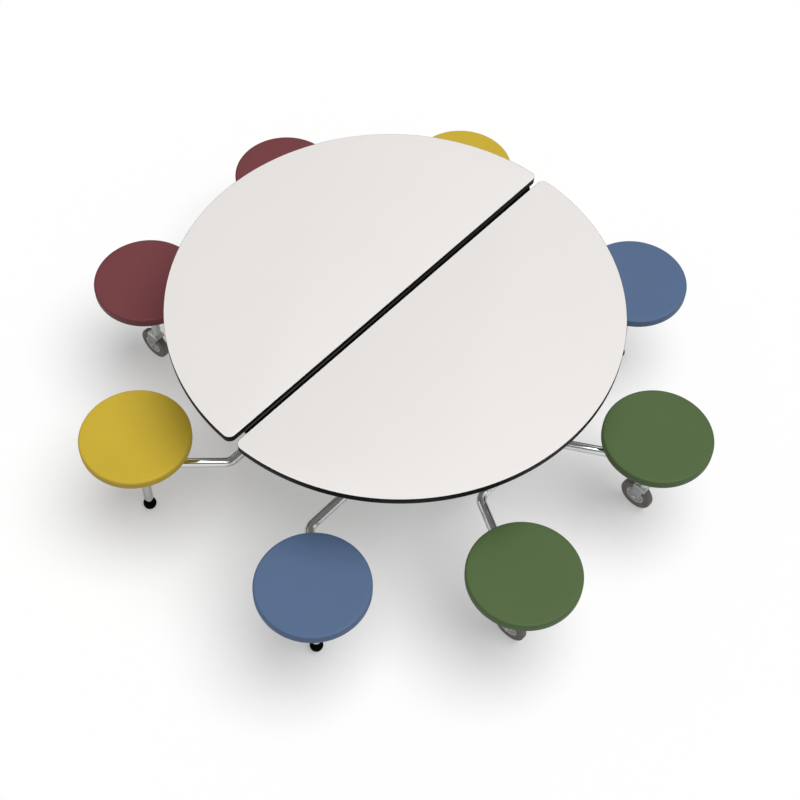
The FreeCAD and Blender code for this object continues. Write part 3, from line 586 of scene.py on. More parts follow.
def rubber_finish(name, colour, floor_dust, specular):
    """Rubber: matt grain, with a grey bloom that grows towards the floor."""
    shade = Shade(name, specular_ior_level=specular)
    place = shade.place()
    height = shade.parts(place)[2]
    bloom = shade.noise(place, 42.0, 5.0, 0.7)
    grain = shade.noise(place, 760.0, 3.0, 0.7)
    low = shade.step(height + 0.012 * bloom, 0.022, 0.004)
    tone = shade.blend(shade.step(bloom, 0.4, 0.8) * 0.45, colour, shifted(colour, 1.7))
    tone = shade.blend(low * floor_dust, tone, linear(128, 126, 123))
    shade.relief(grain, 0.0002, 0.5)
    return shade.finish(tone, 0.58 + 0.2 * bloom)


def rim_finish(name, colour):
    """Grey moulded wheel centre: fine grain, flow lines and road dust."""
    shade = Shade(name)
    place = shade.place()
    cloud = shade.noise(place, 30.0, 5.0, 0.6, 0.6)
    grain = shade.noise(place, 900.0, 2.0)
    dust = shade.step(shade.noise(place, 75.0, 5.0, 0.7), 0.5, 0.8)
    tone = shade.blend(cloud, shifted(colour, 0.92), shifted(colour, 1.06))
    tone = shade.blend(dust * 0.3, tone, shifted(colour, 0.68))
    shade.relief(grain * 0.6 + cloud * 0.4, 0.00012, 0.5)
    return shade.finish(tone, 0.36 + 0.16 * dust + 0.06 * grain)


# ----------------------------------------------------------------------- settings

def colour_property(label, description, colour):
    """A colour setting with a name, a description and its default."""
    return bpy.props.FloatVectorProperty(name=label, description=description, subtype="COLOR",
                                         size=4, min=0.0, max=1.0, default=colour)


def length_property(label, description, millimetres):
    """A length setting in metres."""
    return bpy.props.FloatProperty(name=label, description=description, unit="LENGTH",
                                   subtype="DISTANCE", min=0.0, default=millimetres * MM,
                                   precision=4)


class TopSettings(bpy.types.PropertyGroup):
    """Colours and edge of the table top."""
    laminate: colour_property("Laminate", "Colour of the top surface", linear(232, 228, 225))
    edge: colour_property("Edge", "Colour of the edge band", linear(10, 10, 11))
    strip: colour_property("Strip", "Colour of the strip in the gap", linear(5, 5, 5))
    underside: colour_property("Underside", "Colour of the board's backing sheet",
                               linear(192, 191, 188))
    clamp: colour_property("Clamps", "Colour of the pivot clamps", linear(26, 26, 27))
    arris: length_property("Arris", "Rounding of the laminate's edge", 0.5)


class SeatSettings(bpy.types.PropertyGroup):
    """Colours and shape of the seats."""
    blue: colour_property("Blue", "Colour of the blue seats", linear(83, 105, 138))
    green: colour_property("Green", "Colour of the green seats", linear(77, 99, 58))
    maroon: colour_property("Maroon", "Colour of the maroon seats", linear(112, 58, 61))
    yellow: colour_property("Yellow", "Colour of the yellow seats", linear(199, 171, 52))
    edge: length_property("Edge", "Rounding of the seat's upper edge", 9.0)
    dish: length_property("Dish", "How far the seat's middle is hollowed", 1.2)


class MetalSettings(bpy.types.PropertyGroup):
    """Tones of the metal parts."""
    chrome: colour_property("Chrome", "Tone of the tubes", (0.62, 0.625, 0.63, 1.0))
    zinc: colour_property("Zinc", "Tone of plates and fittings", (0.46, 0.46, 0.455, 1.0))
    bead: length_property("Weld bead", "Half-width of the weld beads", 2.1)


class WheelSettings(bpy.types.PropertyGroup):
    """Colours of casters and feet."""
    tyre: colour_property("Tyre", "Colour of the tyres", linear(122, 118, 114))
    rim: colour_property("Rim", "Colour of the wheel centres", linear(222, 221, 219))
    foot: colour_property("Foot", "Colour of the rubber feet", linear(3, 3, 3))


class StageSettings(bpy.types.PropertyGroup):
    """Light and floor of the studio."""
    sun_power: bpy.props.FloatProperty(name="Sun power", default=2.55, min=0.0,
                                       description="Power of the soft overhead light")
    sky_power: bpy.props.FloatProperty(name="Sky power", default=0.215, min=0.0,
                                       description="Power of the even light from all round")
    floor_glow: bpy.props.FloatProperty(name="Floor glow", default=0.30, min=0.0, max=1.0,
                                        description="Share of the floor's white that shadow keeps")
    floor_bounce: bpy.props.FloatProperty(name="Floor bounce", default=0.5, min=0.0,
                                          description="Even light the floor gives off")
    mirror_glow: bpy.props.FloatProperty(name="Glow in metal", default=0.1, min=0.0, max=1.0,
                                         description="The same share as polished metal shows it")


class TableSettings(bpy.types.PropertyGroup):
    """All settings of the table."""
    top: bpy.props.PointerProperty(type=TopSettings)
    seat: bpy.props.PointerProperty(type=SeatSettings)
    metal: bpy.props.PointerProperty(type=MetalSettings)
    wheel: bpy.props.PointerProperty(type=WheelSettings)
    stage: bpy.props.PointerProperty(type=StageSettings)


def settings():
    """The scene's table settings."""
    return bpy.context.scene.folding_table


def material(name, maker, colour, **finish):
    """The named material, made once."""
    found = bpy.data.materials.get(name)
    return found or maker(name, tuple(colour), **finish)


def chrome():
    """Chrome of the tubes, stays and axle bolts."""
    return material("bright chrome", chrome_finish, settings().metal.chrome)


def zinc():
    """Zinc of plates, forks and screws."""
    return material("zinc plate", zinc_finish, settings().metal.zinc)


def frame_ends(kind, half):
    """The two ends of a frame on one half: (x, y, colour, name of the end)."""
    x, y = FRAMES[kind][2:4]
    turn = HALVES[half]
    colour = SEAT_COLOURS[half][kind]
    return [(x * turn, y, colour, "back"), (x * turn, -y, colour, "front")]


# ---------------------------------------------------------------------- operators

def sheet_profile(arris):
    """Side of the laminate sheet as (inset, height): upright, then a quarter circle in."""
    a = arc(0, 90, 5)
    crown = zip(LAP + arris * (1 - np.cos(a)), TABLE_HEIGHT - arris * (1 - np.sin(a)))
    return [(LAP, LAMINATE_FLOOR), *crown]


def band_profile():
    """Section of the edge band as (inset, height): its upright face with a small arris at
    foot and crest, a step under the laminate and a thin lip beside it."""
    crest = TABLE_HEIGHT - 0.2
    return [(0.0, crest - 0.4), (0.0, UNDERSIDE + 0.8),
            (0.11, UNDERSIDE + 0.4), (0.4, UNDERSIDE + 0.11), (0.8, UNDERSIDE),
            (BAND_THICK, UNDERSIDE), (BAND_THICK, LAMINATE_FLOOR), (LAP, LAMINATE_FLOOR),
            (LAP, crest), (0.4, crest), (0.12, crest - 0.12)]


def strip_outline():
    """Section of the gap's strip in (x, z): a foot on the half's edge, a web over the gap
    and a bead, which is a circle's arc from -28 to 228 degrees."""
    a = arc(-28, 228, 44)
    axis = TABLE_HEIGHT - 1.0 - STRIP_BEAD
    bead = np.stack([STRIP_MIDDLE + STRIP_BEAD * np.cos(a), axis + STRIP_BEAD * np.sin(a)], 1)
    web_left, leg = STRIP_MIDDLE - STRIP_BEAD / 3, GAP_HALF - 4.0
    start = [(GAP_HALF, STRIP_FOOT), (GAP_HALF, STRIP_WEB_HIGH), (bead[0, 0] + 0.6, STRIP_WEB_HIGH)]
    end = [(web_left, STRIP_WEB_HIGH - 1), (web_left, STRIP_WEB_LOW), (leg, STRIP_WEB_LOW),
           (leg, STRIP_FOOT)]
    return np.concatenate([start, bead, end])


class BuildTop(bpy.types.Operator):
    """Laminate sheets, edge bands, board undersides and the strip in the gap"""
    bl_idname = "folding_table.build_top"
    bl_label = "Build table top"

    def execute(self, context):
        top = settings().top
        white = material("white laminate", laminate_finish, top.laminate)
        black = material("black edge band", moulding_finish, top.edge,
                         grain=700.0, shine=0.38, specular=0.08)
        filler = material("black filler strip", moulding_finish, top.strip,
                          grain=900.0, shine=0.12, specular=0.14)
        board = material("board underside", board_finish, top.underside)
        sheet = rim_skin(sheet_profile(top.arris / MM), looped=False, capped=True)
        band = rim_skin(band_profile())
        for half, turn in HALVES.items():
            body = "top_" + half
            make_piece("laminate_sheet_" + half, [sheet.moved(turn=turn)], white, body,
                       "white_laminate", ("laminate_" + half,))
            make_piece("rim_band_" + half, [band.moved(turn=turn)], black, body,
                       "black_edge", ("edge_band_" + half,))
            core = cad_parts["top_core_" + half]
            core.data.materials.clear()
            core.data.materials.append(board)
        strip = slab(strip_outline(), -STRIP_HALF_LENGTH, STRIP_HALF_LENGTH, 0.25)
        make_piece("gap_filler", [strip], filler, "top_a", "black_edge", ("gap_strip",))
        return {"FINISHED"}


def pan_head(x, y, face, radius, height):
    """A screw head below a face, with a cross recess.

    Depth is height * (1 - 0.45 * (r / radius)^2), less 0.55 of the height inside a cross."""
    fraction = np.array([1.0, 1.0, 0.97, 0.88, 0.74, 0.62, 0.54, 0.42, 0.3, 0.2, 0.1, 0.0])
    a = np.linspace(0, TAU, 48, endpoint=False)
    px, py = np.outer(fraction, np.cos(a)), np.outer(fraction, np.sin(a))
    depth = height * (1 - 0.45 * fraction ** 2)[:, None] * np.ones_like(px)
    arm = np.minimum(np.maximum(abs(px) / 0.62, abs(py) / 0.15),
                     np.maximum(abs(py) / 0.62, abs(px) / 0.15))
    depth -= 0.55 * height * np.clip((1.25 - arm) / 0.4, 0, 1)
    depth[0] = 0.0
    return Skin(np.stack([x + radius * px, y + radius * py, face - depth], axis=-1))


class BuildUnderside(bpy.types.Operator):
    """Pivot clamps, hinge brackets, hinge rod and the screws under the top"""
    bl_idname = "folding_table.build_underside"
    bl_label = "Build underside fittings"

    def execute(self, context):
        black = material("black moulded clamp", moulding_finish, settings().top.clamp,
                         grain=520.0, shine=0.42)
        for half, turn in HALVES.items():
            body = "top_" + half
            softened("pivot_clamps_" + half, "saddle_clamps_" + half, black, body,
                     1.2)
            softened("hinge_brackets_" + half, "hinge_ears_" + half, zinc(), body,
                     0.7)
            places = []
            for pivot, along in CLAMPS:
                places += [(pivot + step, side * along, UNDERSIDE - CLAMP_FLANGE)
                           for side in (1, -1) for step in (CLAMP_SCREW, -CLAMP_SCREW)]
            for side in (1, -1):
                places += [(x, side * HINGE_PLATES[half] + step, UNDERSIDE - HINGE_FLANGE)
                           for x in HINGE_SCREWS for step in (HINGE_SCREW_STEP, -HINGE_SCREW_STEP)]
            heads = [pan_head(*place, *WOOD_SCREW).moved(turn=turn) for place in places]
            make_piece("wood_screws_" + half, heads, zinc(), body, "zinc_steel",
                       ("top_screws_" + half,))
        softened("hinge_rod", "hinge_pin", zinc(), "top_a", 0.8)
        return {"FINISHED"}


def stud(x, z):
    """Stay-bar pivot along Y: spacer, shaft and domed cap."""
    profile = rounded([(0, EAR_HIGH - 1), (STUD_COLLAR, EAR_HIGH - 1), (STUD_COLLAR, 145.5),
                       (STUD_RADIUS, 145.5), (STUD_RADIUS, 152.5), (STUD_COLLAR, 152.5),
                       (STUD_COLLAR, 154.2), (7.5, 155.6), (0, 156)], 0.5)
    return lathe(profile, (x, 0, z), "y", 40)


def ear(points, eye):
    """Flat ear: its outline with a round end about the eye."""
    a = arc(-90, 90, 20)
    tip = np.stack([eye[0] + EYE_RADIUS * np.cos(a), eye[1] + EYE_RADIUS * np.sin(a)], axis=1)
    return slab(np.concatenate([points, tip]), EAR_LOW, EAR_HIGH, 0.6)


def flipped(skin):
    """The same skin on the other side of the XZ plane."""
    return Skin(skin.grid * (1, -1, 1), skin.looped, skin.capped)


def frame_fittings(kind, pivot, level):
    """Both ears of a frame with their studs; the outer frames carry them on the hoop, the
    inner ones on the arm."""
    eye = (pivot + STAY_X, PIVOT_HEIGHT - STAY_DROP)
    if kind == "outer":
        root = pivot + HOOP_RADIUS / 3
        plate = ear([(root, eye[1] + EYE_RADIUS), (root, eye[1] - EYE_RADIUS)], eye)
    else:
        a = arc(0, 180, 24)
        tip = np.stack([eye[0] + EYE_RADIUS * np.cos(a), eye[1] + EYE_RADIUS * np.sin(a)], axis=1)
        root = [(pivot - EYE_RADIUS, level + 8.0), (pivot + EYE_RADIUS, level + 8.0)]
        plate = slab(np.concatenate([root, tip]), EAR_LOW, EAR_HIGH, 0.6)
    return [plate, flipped(plate), stud(*eye), flipped(stud(*eye))]


def post_skins(kind, x, y, foot):
    """Both seat posts of a frame: open tubes, or closed ones with a stem for the foot."""
    top, wall = POST_TOP, POST_RADIUS - POST_WALL
    section = [(POST_RADIUS - 0.4, foot), (POST_RADIUS, foot + 0.5),
               (POST_RADIUS, top - 0.5), (POST_RADIUS - 0.4, top),
               (wall + 0.4, top), (wall, top - 0.5), (wall, foot + 0.5), (wall + 0.4, foot)]
    if kind == "inner":
        stem = [(0, GLIDE_FOOT), (GLIDE_RADIUS, GLIDE_FOOT), (GLIDE_RADIUS, foot - 1.5),
                (wall - 1, foot)]
        section = stem + section[:6] + [(wall, foot + 8.0), (0, foot + 8.0)]
    return [lathe(section, (x, side * y, 0), looped=kind == "outer") for side in (1, -1)]


class BuildFrames(bpy.types.Operator):
    """Arm tubes, hoops, posts, ears, studs and weld beads"""
    bl_idname = "folding_table.build_frames"
    bl_label = "Build tube frames"

    def execute(self, context):
        bead = settings().metal.bead / MM
        seam = material("chromed weld", chrome_finish, shifted(settings().metal.chrome, 0.9),
                        base_roughness=0.2)
        up, along = (0, 0, 1), (0, 1, 0)
        for kind, (pivot, bend_y, seat_x, seat_y, half_width, level, foot) in FRAMES.items():
            corners = [(seat_x, -seat_y, level), (pivot, -bend_y, level),
                       (pivot, bend_y, level), (seat_x, seat_y, level)]
            arm = pipe(corners, ARM_BEND, up, ARM_RADIUS, ARM_WALL, up, POST_RADIUS - 1)
            legs = [(pivot, -half_width, level), (pivot, -half_width, PIVOT_HEIGHT),
                    (pivot, half_width, PIVOT_HEIGHT), (pivot, half_width, level)]
            hoop = pipe(legs, HOOP_BEND, (1, 0, 0), HOOP_RADIUS, HOOP_WALL, along, ARM_RADIUS - 1)
            fittings = frame_fittings(kind, pivot, level)
            ends = np.array(corners, float)
            beads = [weld(ends[3], ends[3] - ends[2], up, ARM_RADIUS, POST_RADIUS, bead),
                     weld(np.array(legs[3], float), (0, 0, -1), along, HOOP_RADIUS,
                          ARM_RADIUS, bead * 0.85, 34)]
            beads += [flipped(skin) for skin in beads]
            posts = post_skins(kind, seat_x, seat_y, foot)
            arm_skins = [arm] + (fittings if kind == "inner" else [])
            hoop_skins = [hoop] + (fittings if kind == "outer" else [])
            parts = (("arm_tube", arm_skins, chrome(), "arm"),
                     ("hoop_tube", hoop_skins, chrome(), "hoop"),
                     ("post_tubes", posts, chrome(), "posts"),
                     ("welds", beads, seam, None))
            for half, turn in HALVES.items():
                for part, skins, finish, node in parts:
                    replaced = ("%s_%s_%s" % (kind, node, half),) if node else ()
                    make_piece("%s_%s_%s" % (kind, part, half),
                               [skin.moved(turn=turn) for skin in skins], finish,
                               "%s_frame_%s" % (kind, half), "bright_tube", replaced)
        return {"FINISHED"}


class BuildStays(bpy.types.Operator):
    """Stay bars and the hanging centre post of the fold"""
    bl_idname = "folding_table.build_stays"
    bl_label = "Build stays"

    def execute(self, context):
        for half in HALVES:
            softened("stay_bars_" + half, "flat_stays_" + half, chrome(), "stays_" + half,
                     0.6)
        softened("centre_post", "hanging_post", chrome(), "centre_frame", 0.6)
        return {"FINISHED"}


def seat_skin(edge, dish):
    """A round seat from its middle over the rim to its ribbed underside.

    The top sinks by dish * (1 - (r / R)^2)^2; the underside rises 8 mm into a ring-shaped
    recess, except on twelve radial ribs that keep a constant angle."""
    flank = np.array([-1.9, -1.3, 0.0, 1.3, 1.9, 4.5, 8.0, 11.5, 15.0, 18.5, 22.0, 25.5])
    angles = np.radians((flank[None, :] + 30.0 * np.arange(12)[:, None]).ravel())
    rib = np.tile((abs(flank) < 1.5).astype(float), 12)
    flat_radius = SEAT_RADIUS - edge
    r_top = flat_radius * np.linspace(0, 1, 18)
    z_top = SEAT_TOP - dish * (1 - (r_top / flat_radius) ** 2) ** 2
    a = arc(90, 0, 12)[1:]
    r_edge, z_edge = flat_radius + edge * np.cos(a), SEAT_TOP - edge + edge * np.sin(a)
    b = arc(0, -90, 7)
    under = 4.0
    r_low = SEAT_RADIUS - under + under * np.cos(b)
    z_low = SEAT_FLOOR + under + under * np.sin(b)
    r_under = np.array([177.0, 176.0, 175.0, 174.0, 150.0, 120.0, 94.0, 93.0, 91.0, 90.0, 0.0])
    deep = np.array([0.0, 0.4, 6.5, 8.0, 8.0, 8.0, 8.0, 6.5, 0.4, 0.0, 0.0])
    radius = np.concatenate([r_top, r_edge, r_low, r_under])[:, None]
    height = np.concatenate([z_top, z_edge, z_low, np.full(len(deep), SEAT_FLOOR)])[:, None]
    lift = np.concatenate([np.zeros(len(radius) - len(deep)), deep])[:, None] * (1 - rib)
    return Skin(np.stack([radius * np.cos(angles), radius * np.sin(angles), height + lift], -1))


def swivel_skin():
    """Swivel of a seat: plate, raised middle, collar and spindle, turned round Z."""
    bore = POST_RADIUS - POST_WALL - 0.05
    drops = [(0, 0.1), (79.2, 0.1), (80, 0.8), (80, 2.8), (79.0, 3.6), (48.0, 4.0),
             (36.0, 5.4), (26.0, 6.6), (22.0, 8.0), (22.0, 12.4), (21.2, 13.0),
             (bore, 13.0), (bore, 72.0), (bore - 1, 73.0), (0, 73.0)]
    return lathe(rounded([(r, SEAT_FLOOR - drop) for r, drop in drops], 0.8, 4), (0, 0, 0))


class BuildSeats(bpy.types.Operator):
    """Eight round seats, their swivel plates and screws"""
    bl_idname = "folding_table.build_seats"
    bl_label = "Build seats"

    def execute(self, context):
        seat = settings().seat
        disc = seat_skin(seat.edge / MM, seat.dish / MM)
        swivel = swivel_skin()
        heads = [pan_head(SEAT_SCREW_CIRCLE * math.cos(t), SEAT_SCREW_CIRCLE * math.sin(t),
                          SEAT_FLOOR - 3.4, *SEAT_SCREW) for t in arc(45, 315, 4)]
        for half in HALVES:
            for kind in FRAMES:
                for x, y, colour, end in frame_ends(kind, half):
                    where = "%s_%s" % (colour, end)
                    body = "stool_" + where
                    finish = material(colour + " seat plastic", seat_finish,
                                      getattr(seat, colour))
                    make_piece("round_seat_" + where, [disc.moved(x, y)], finish, body,
                               colour + "_seat", ("seat_" + where,), 40)
                    make_piece("swivel_plate_" + where, [swivel.moved(x, y)], zinc(), body,
                               "zinc_steel", ("swivel_" + where,))
                    make_piece("seat_screws_" + where, [head.moved(x, y) for head in heads],
                               zinc(), body, "zinc_steel")
        return {"FINISHED"}


def bent_sheet(middle, ys, zs, half, thick, axis="y"):
    """A bent sheet strip: a rounded oblong section carried along a line in a plane.

    The section's half-length runs across the plane; its thickness runs along the line's
    normal, which is the derivative of the line turned a quarter round."""
    across = np.array((1.0, 0, 0) if axis == "y" else (0, 1.0, 0))
    flat = np.array((0, 1.0, 0) if axis == "y" else (1.0, 0, 0))
    line = np.outer(middle, across) + np.outer(ys, flat) + np.outer(zs, (0, 0, 1.0))
    along = np.outer(np.gradient(ys), flat) + np.outer(np.gradient(zs), (0, 0, 1.0))
    normal = np.cross(unit(along), across)
    corner = 0.8
    b = np.concatenate([arc(0, 90, 4), arc(90, 180, 4), arc(180, 270, 4), arc(270, 360, 4)])
    sx = np.repeat([1, -1, -1, 1], 4)
    st = np.repeat([1, 1, -1, -1], 4)
    wide = np.maximum(half[:, None] - corner, 0.05) * sx + corner * np.cos(b)
    deep = (thick / 2 - corner) * st + corner * np.sin(b)
    grid = line[:, None] + wide[..., None] * across + deep[..., None] * normal[:, None]
    return Skin(grid, capped=True)


def fork_skin():
    """Pressed caster fork: a sheet carried down one leg, over the crown and down the other.

    Its half-width is sqrt(eye^2 - (axle - z)^2) below the axle. Above it the sheet widens
    forwards by 6.5 mm at the shoulder and by 5.5 mm at the crown, in two smooth steps."""
    eye, axle, mid, top, bend = FORK_EYE, WHEEL_RADIUS, 18.0, 134.5, 6.0
    t = arc(4, 90, 12)
    rise = axle - eye * np.cos(t)
    leg = np.linspace(axle, top - bend, 22)[1:]
    a = arc(0, 90, 9)[1:]
    flat = np.linspace(mid - bend, 0, 4)[1:]
    ys = np.concatenate([np.full(33, mid), mid - bend + bend * np.cos(a), flat])
    zs = np.concatenate([rise, leg, top - bend + bend * np.sin(a), np.full(3, top)])
    wider = 6.5 * smooth_step(zs, axle, 92.0) + 5.5 * smooth_step(zs, 106.0, 120.0)
    half = np.where(zs < axle, np.sqrt(np.maximum(eye ** 2 - (axle - zs) ** 2, 0.3)),
                    eye + wider)
    middle = wider - TRAIL
    return bent_sheet(*(np.concatenate([v, s * v[-2::-1]])
                        for v, s in ((middle, 1), (ys, -1), (zs, 1), (half, 1))), 3.0)


def hood_skins():
    """The fork's front wall: a sheet bent down from the crown, and its rolled lower lip.

    The lip's radius is 2.1 * sqrt(1 - t^8), where t goes from -1 to 1 along it."""
    front, crown, bend = 16.0, 134.4, 5.0
    a = arc(90, 0, 7)
    xs = np.concatenate([[4.0, 9.0], front - bend + bend * np.cos(a), [front, front]])
    zs = np.concatenate([[crown, crown], crown - bend + bend * np.sin(a), [125.0, 120.6]])
    wall = bent_sheet(np.zeros(len(xs)), xs, zs, np.full(len(xs), 18.9), 2.9, "x")
    t = np.linspace(-1, 1, 25)
    b = np.linspace(0, TAU, 14, endpoint=False)
    size = 2.1 * np.sqrt(np.maximum(1 - t ** 8, 0.04))
    roll = np.stack([15.2 + size[:, None] * np.cos(b), 17.6 * t[:, None] + 0 * b,
                     120.7 + size[:, None] * np.sin(b)], axis=-1)
    return [wall, Skin(roll, capped=True)]


def hexagon(x, y, z, low, high, flat):
    """A hexagon nut or head along Y; its corners are cut back to a circle at both faces.

    The edge lies flat / cos(b) from the axis, b the angle from the nearest flat's middle."""
    a = np.linspace(0, TAU, 60, endpoint=False)
    edge = flat / np.cos((a + math.pi / 6) % (math.pi / 3) - math.pi / 6)
    rows = [(flat * 0.98, 0.0), (flat * 1.03, 0.0), (flat * 1.16, 0.9)]
    rows = rows + [(r, high - low - h) for r, h in rows[::-1]]
    grid = [np.stack([np.minimum(edge, r) * np.cos(a), np.full(60, low + h),
                      np.minimum(edge, r) * np.sin(a)], axis=1) for r, h in rows]
    return Skin(np.array(grid) + (x, y, z), capped=True)


def rim_relief():
    """Wheel centre: hub, dished web with six ribs a side, and the ring under the tyre.

    The web's half-thickness is 4 mm plus 6 mm on the ribs, which are |sin(3 a)| bands."""
    a = np.linspace(0, TAU, 96, endpoint=False)
    rib = np.clip((0.26 - abs(np.sin(3 * a))) / 0.10, 0, 1)
    radius = np.array([5.0, 5.6, 13.6, 14.6, 15.0, 15.6, 16.4, 24.0, 30.4, 31.6, 32.4, 34.8, 35.9])
    height = np.array([15.1, 15.5, 15.5, 15.1, 13.6, 9.0, 4.6, 4.0, 4.4, 8.6, 12.2, 13.0, 12.4])
    raised = np.array([0, 0, 0, 0, 0, 0.2, 1.0, 1.0, 0.9, 0.2, 0, 0, 0])
    half = height[:, None] + 6.0 * raised[:, None] * rib
    ring = np.broadcast_to(radius[:, None], half.shape)
    one = np.stack([ring * np.sin(a), half, ring * np.cos(a)], axis=-1)
    other = one[::-1] * (1, -1, 1)
    return Skin(np.concatenate([one, other]) + (-TRAIL, 0, WHEEL_RADIUS), looped=True)


def tyre_skin():
    """Tyre turned round Y: sidewalls, shoulders and a tread with two grooves."""
    tread = rounded([(36, -12.6), (49, -12.6), (51, -13.9), (58.2, -13.6), (61.4, -10.6),
                     (62.5, -6.0), (62.5, 6.0), (61.4, 10.6), (58.2, 13.6), (51, 13.9),
                     (49, 12.6), (36, 12.6)], 2.6, 6)
    grooves = [(62.4, -7.6), (61.5, -7.2), (61.5, -6.6), (62.5, -6.2)]
    tread = np.concatenate([tread[tread[:, 1] < -7.8], grooves,
                            [(62.5, 0.0)], [(r, -h) for r, h in grooves[::-1]],
                            tread[tread[:, 1] > 7.8]])
    return lathe(tread, (-TRAIL, 0, WHEEL_RADIUS), "y", 120, looped=True)


def race_skin():
    """Caster's upright axis turned round Z: nut, two race cups and the stem in the post."""
    bore = POST_RADIUS - POST_WALL - 0.05
    race = rounded([(0, 129), (9, 129), (10.5, 131), (10.5, 135.4), (16.6, 135.4),
                    (17.6, 136.2), (18, 137), (17.6, 138.2), (16.4, 138.9), (16.0, 139.3),
                    (16.8, 139.7), (17, 140.4), (16.8, 141.2), (bore, 141.5), (bore, 181),
                    (bore - 1, 182), (0, 182)], 0.4, 4)
    return lathe(race, (0, 0, 0))


def axle_skins():
    """Axle bolt through fork and wheel: its shaft along Y, a head and a nut."""
    end, face, flat, radius = 22.5, 19.4, 7.3, 4.95
    shaft = [(0, -20), (radius, -20), (radius, 20), (0, 20)]
    return [hexagon(-TRAIL, 0, WHEEL_RADIUS, face, end, flat),
            hexagon(-TRAIL, 0, WHEEL_RADIUS, -end, -face, flat),
            lathe(shaft, (-TRAIL, 0, WHEEL_RADIUS), "y", 32)]


class BuildCasters(bpy.types.Operator):
    """Four swivel casters: forks, bolts, wheel centres and tyres"""
    bl_idname = "folding_table.build_casters"
    bl_label = "Build casters"

    def execute(self, context):
        wheel = settings().wheel
        rubber = material("grey tyre rubber", rubber_finish, wheel.tyre,
                          floor_dust=0.25, specular=0.3)
        plastic = material("grey wheel centre", rim_finish, wheel.rim)
        fork = [fork_skin(), *hood_skins(), race_skin()]
        axle, rim, tyre = axle_skins(), [rim_relief()], [tyre_skin()]
        for half in HALVES:
            for x, y, colour, end in frame_ends("outer", half):
                where = "%s_%s" % (colour, end)
                body, turning = "caster_" + where, "wheel_" + where
                pieces = (("pressed_fork", fork, zinc(), body, "zinc_steel", "caster_fork", 32),
                          ("axle_bolt", axle, chrome(), body, "zinc_steel", None, 32),
                          ("wheel_centre", rim, plastic, turning, "grey_rim", "caster_rim", 45),
                          ("wheel_tyre", tyre, rubber, turning, "grey_tyre", "caster_tyre", 40))
                for name, skins, finish, carrier, slot, node, sharp in pieces:
                    replaced = ("%s_%s" % (node, where),) if node else ()
                    make_piece("%s_%s" % (name, where), [skin.moved(x, y) for skin in skins],
                               finish, carrier, slot, replaced, sharp)
        return {"FINISHED"}


def foot_profile():
    """Section of a ball foot as (radius, height): a flat tread, a ball's arc, which is
    (ball * cos t, centre + ball * sin t), and a neck round the glide stem."""
    ball, centre = 23.5, 22.5
    tread = math.sqrt(ball ** 2 - centre ** 2)
    a = arc(math.degrees(math.asin(-centre / ball)), 53.0, 30)
    side = [(ball * math.cos(t), centre + ball * math.sin(t)) for t in a]
    return [(0, 0.8), (tread - 2.5, 0.8), (tread - 1.5, 0.0), (tread, 0.0), *side[1:],
            (GLIDE_RADIUS + 1.2, 41.9), (GLIDE_RADIUS, 41.2), (GLIDE_RADIUS, GLIDE_FOOT),
            (0, GLIDE_FOOT)]


class BuildFeet(bpy.types.Operator):
    """Four ball-shaped rubber feet"""
    bl_idname = "folding_table.build_feet"
    bl_label = "Build feet"

    def execute(self, context):
        finish = material("black foot rubber", rubber_finish, settings().wheel.foot,
                          floor_dust=0.1, specular=0.03)
        x, y = FRAMES["inner"][2:4]
        for half, turn in HALVES.items():
            feet = [lathe(foot_profile(), (x, side * y, 0)).moved(turn=turn) for side in (1, -1)]
            make_piece("ball_feet_" + half, feet, finish, "inner_frame_" + half, "black_rubber",
                       ("rubber_feet_" + half,))
        return {"FINISHED"}


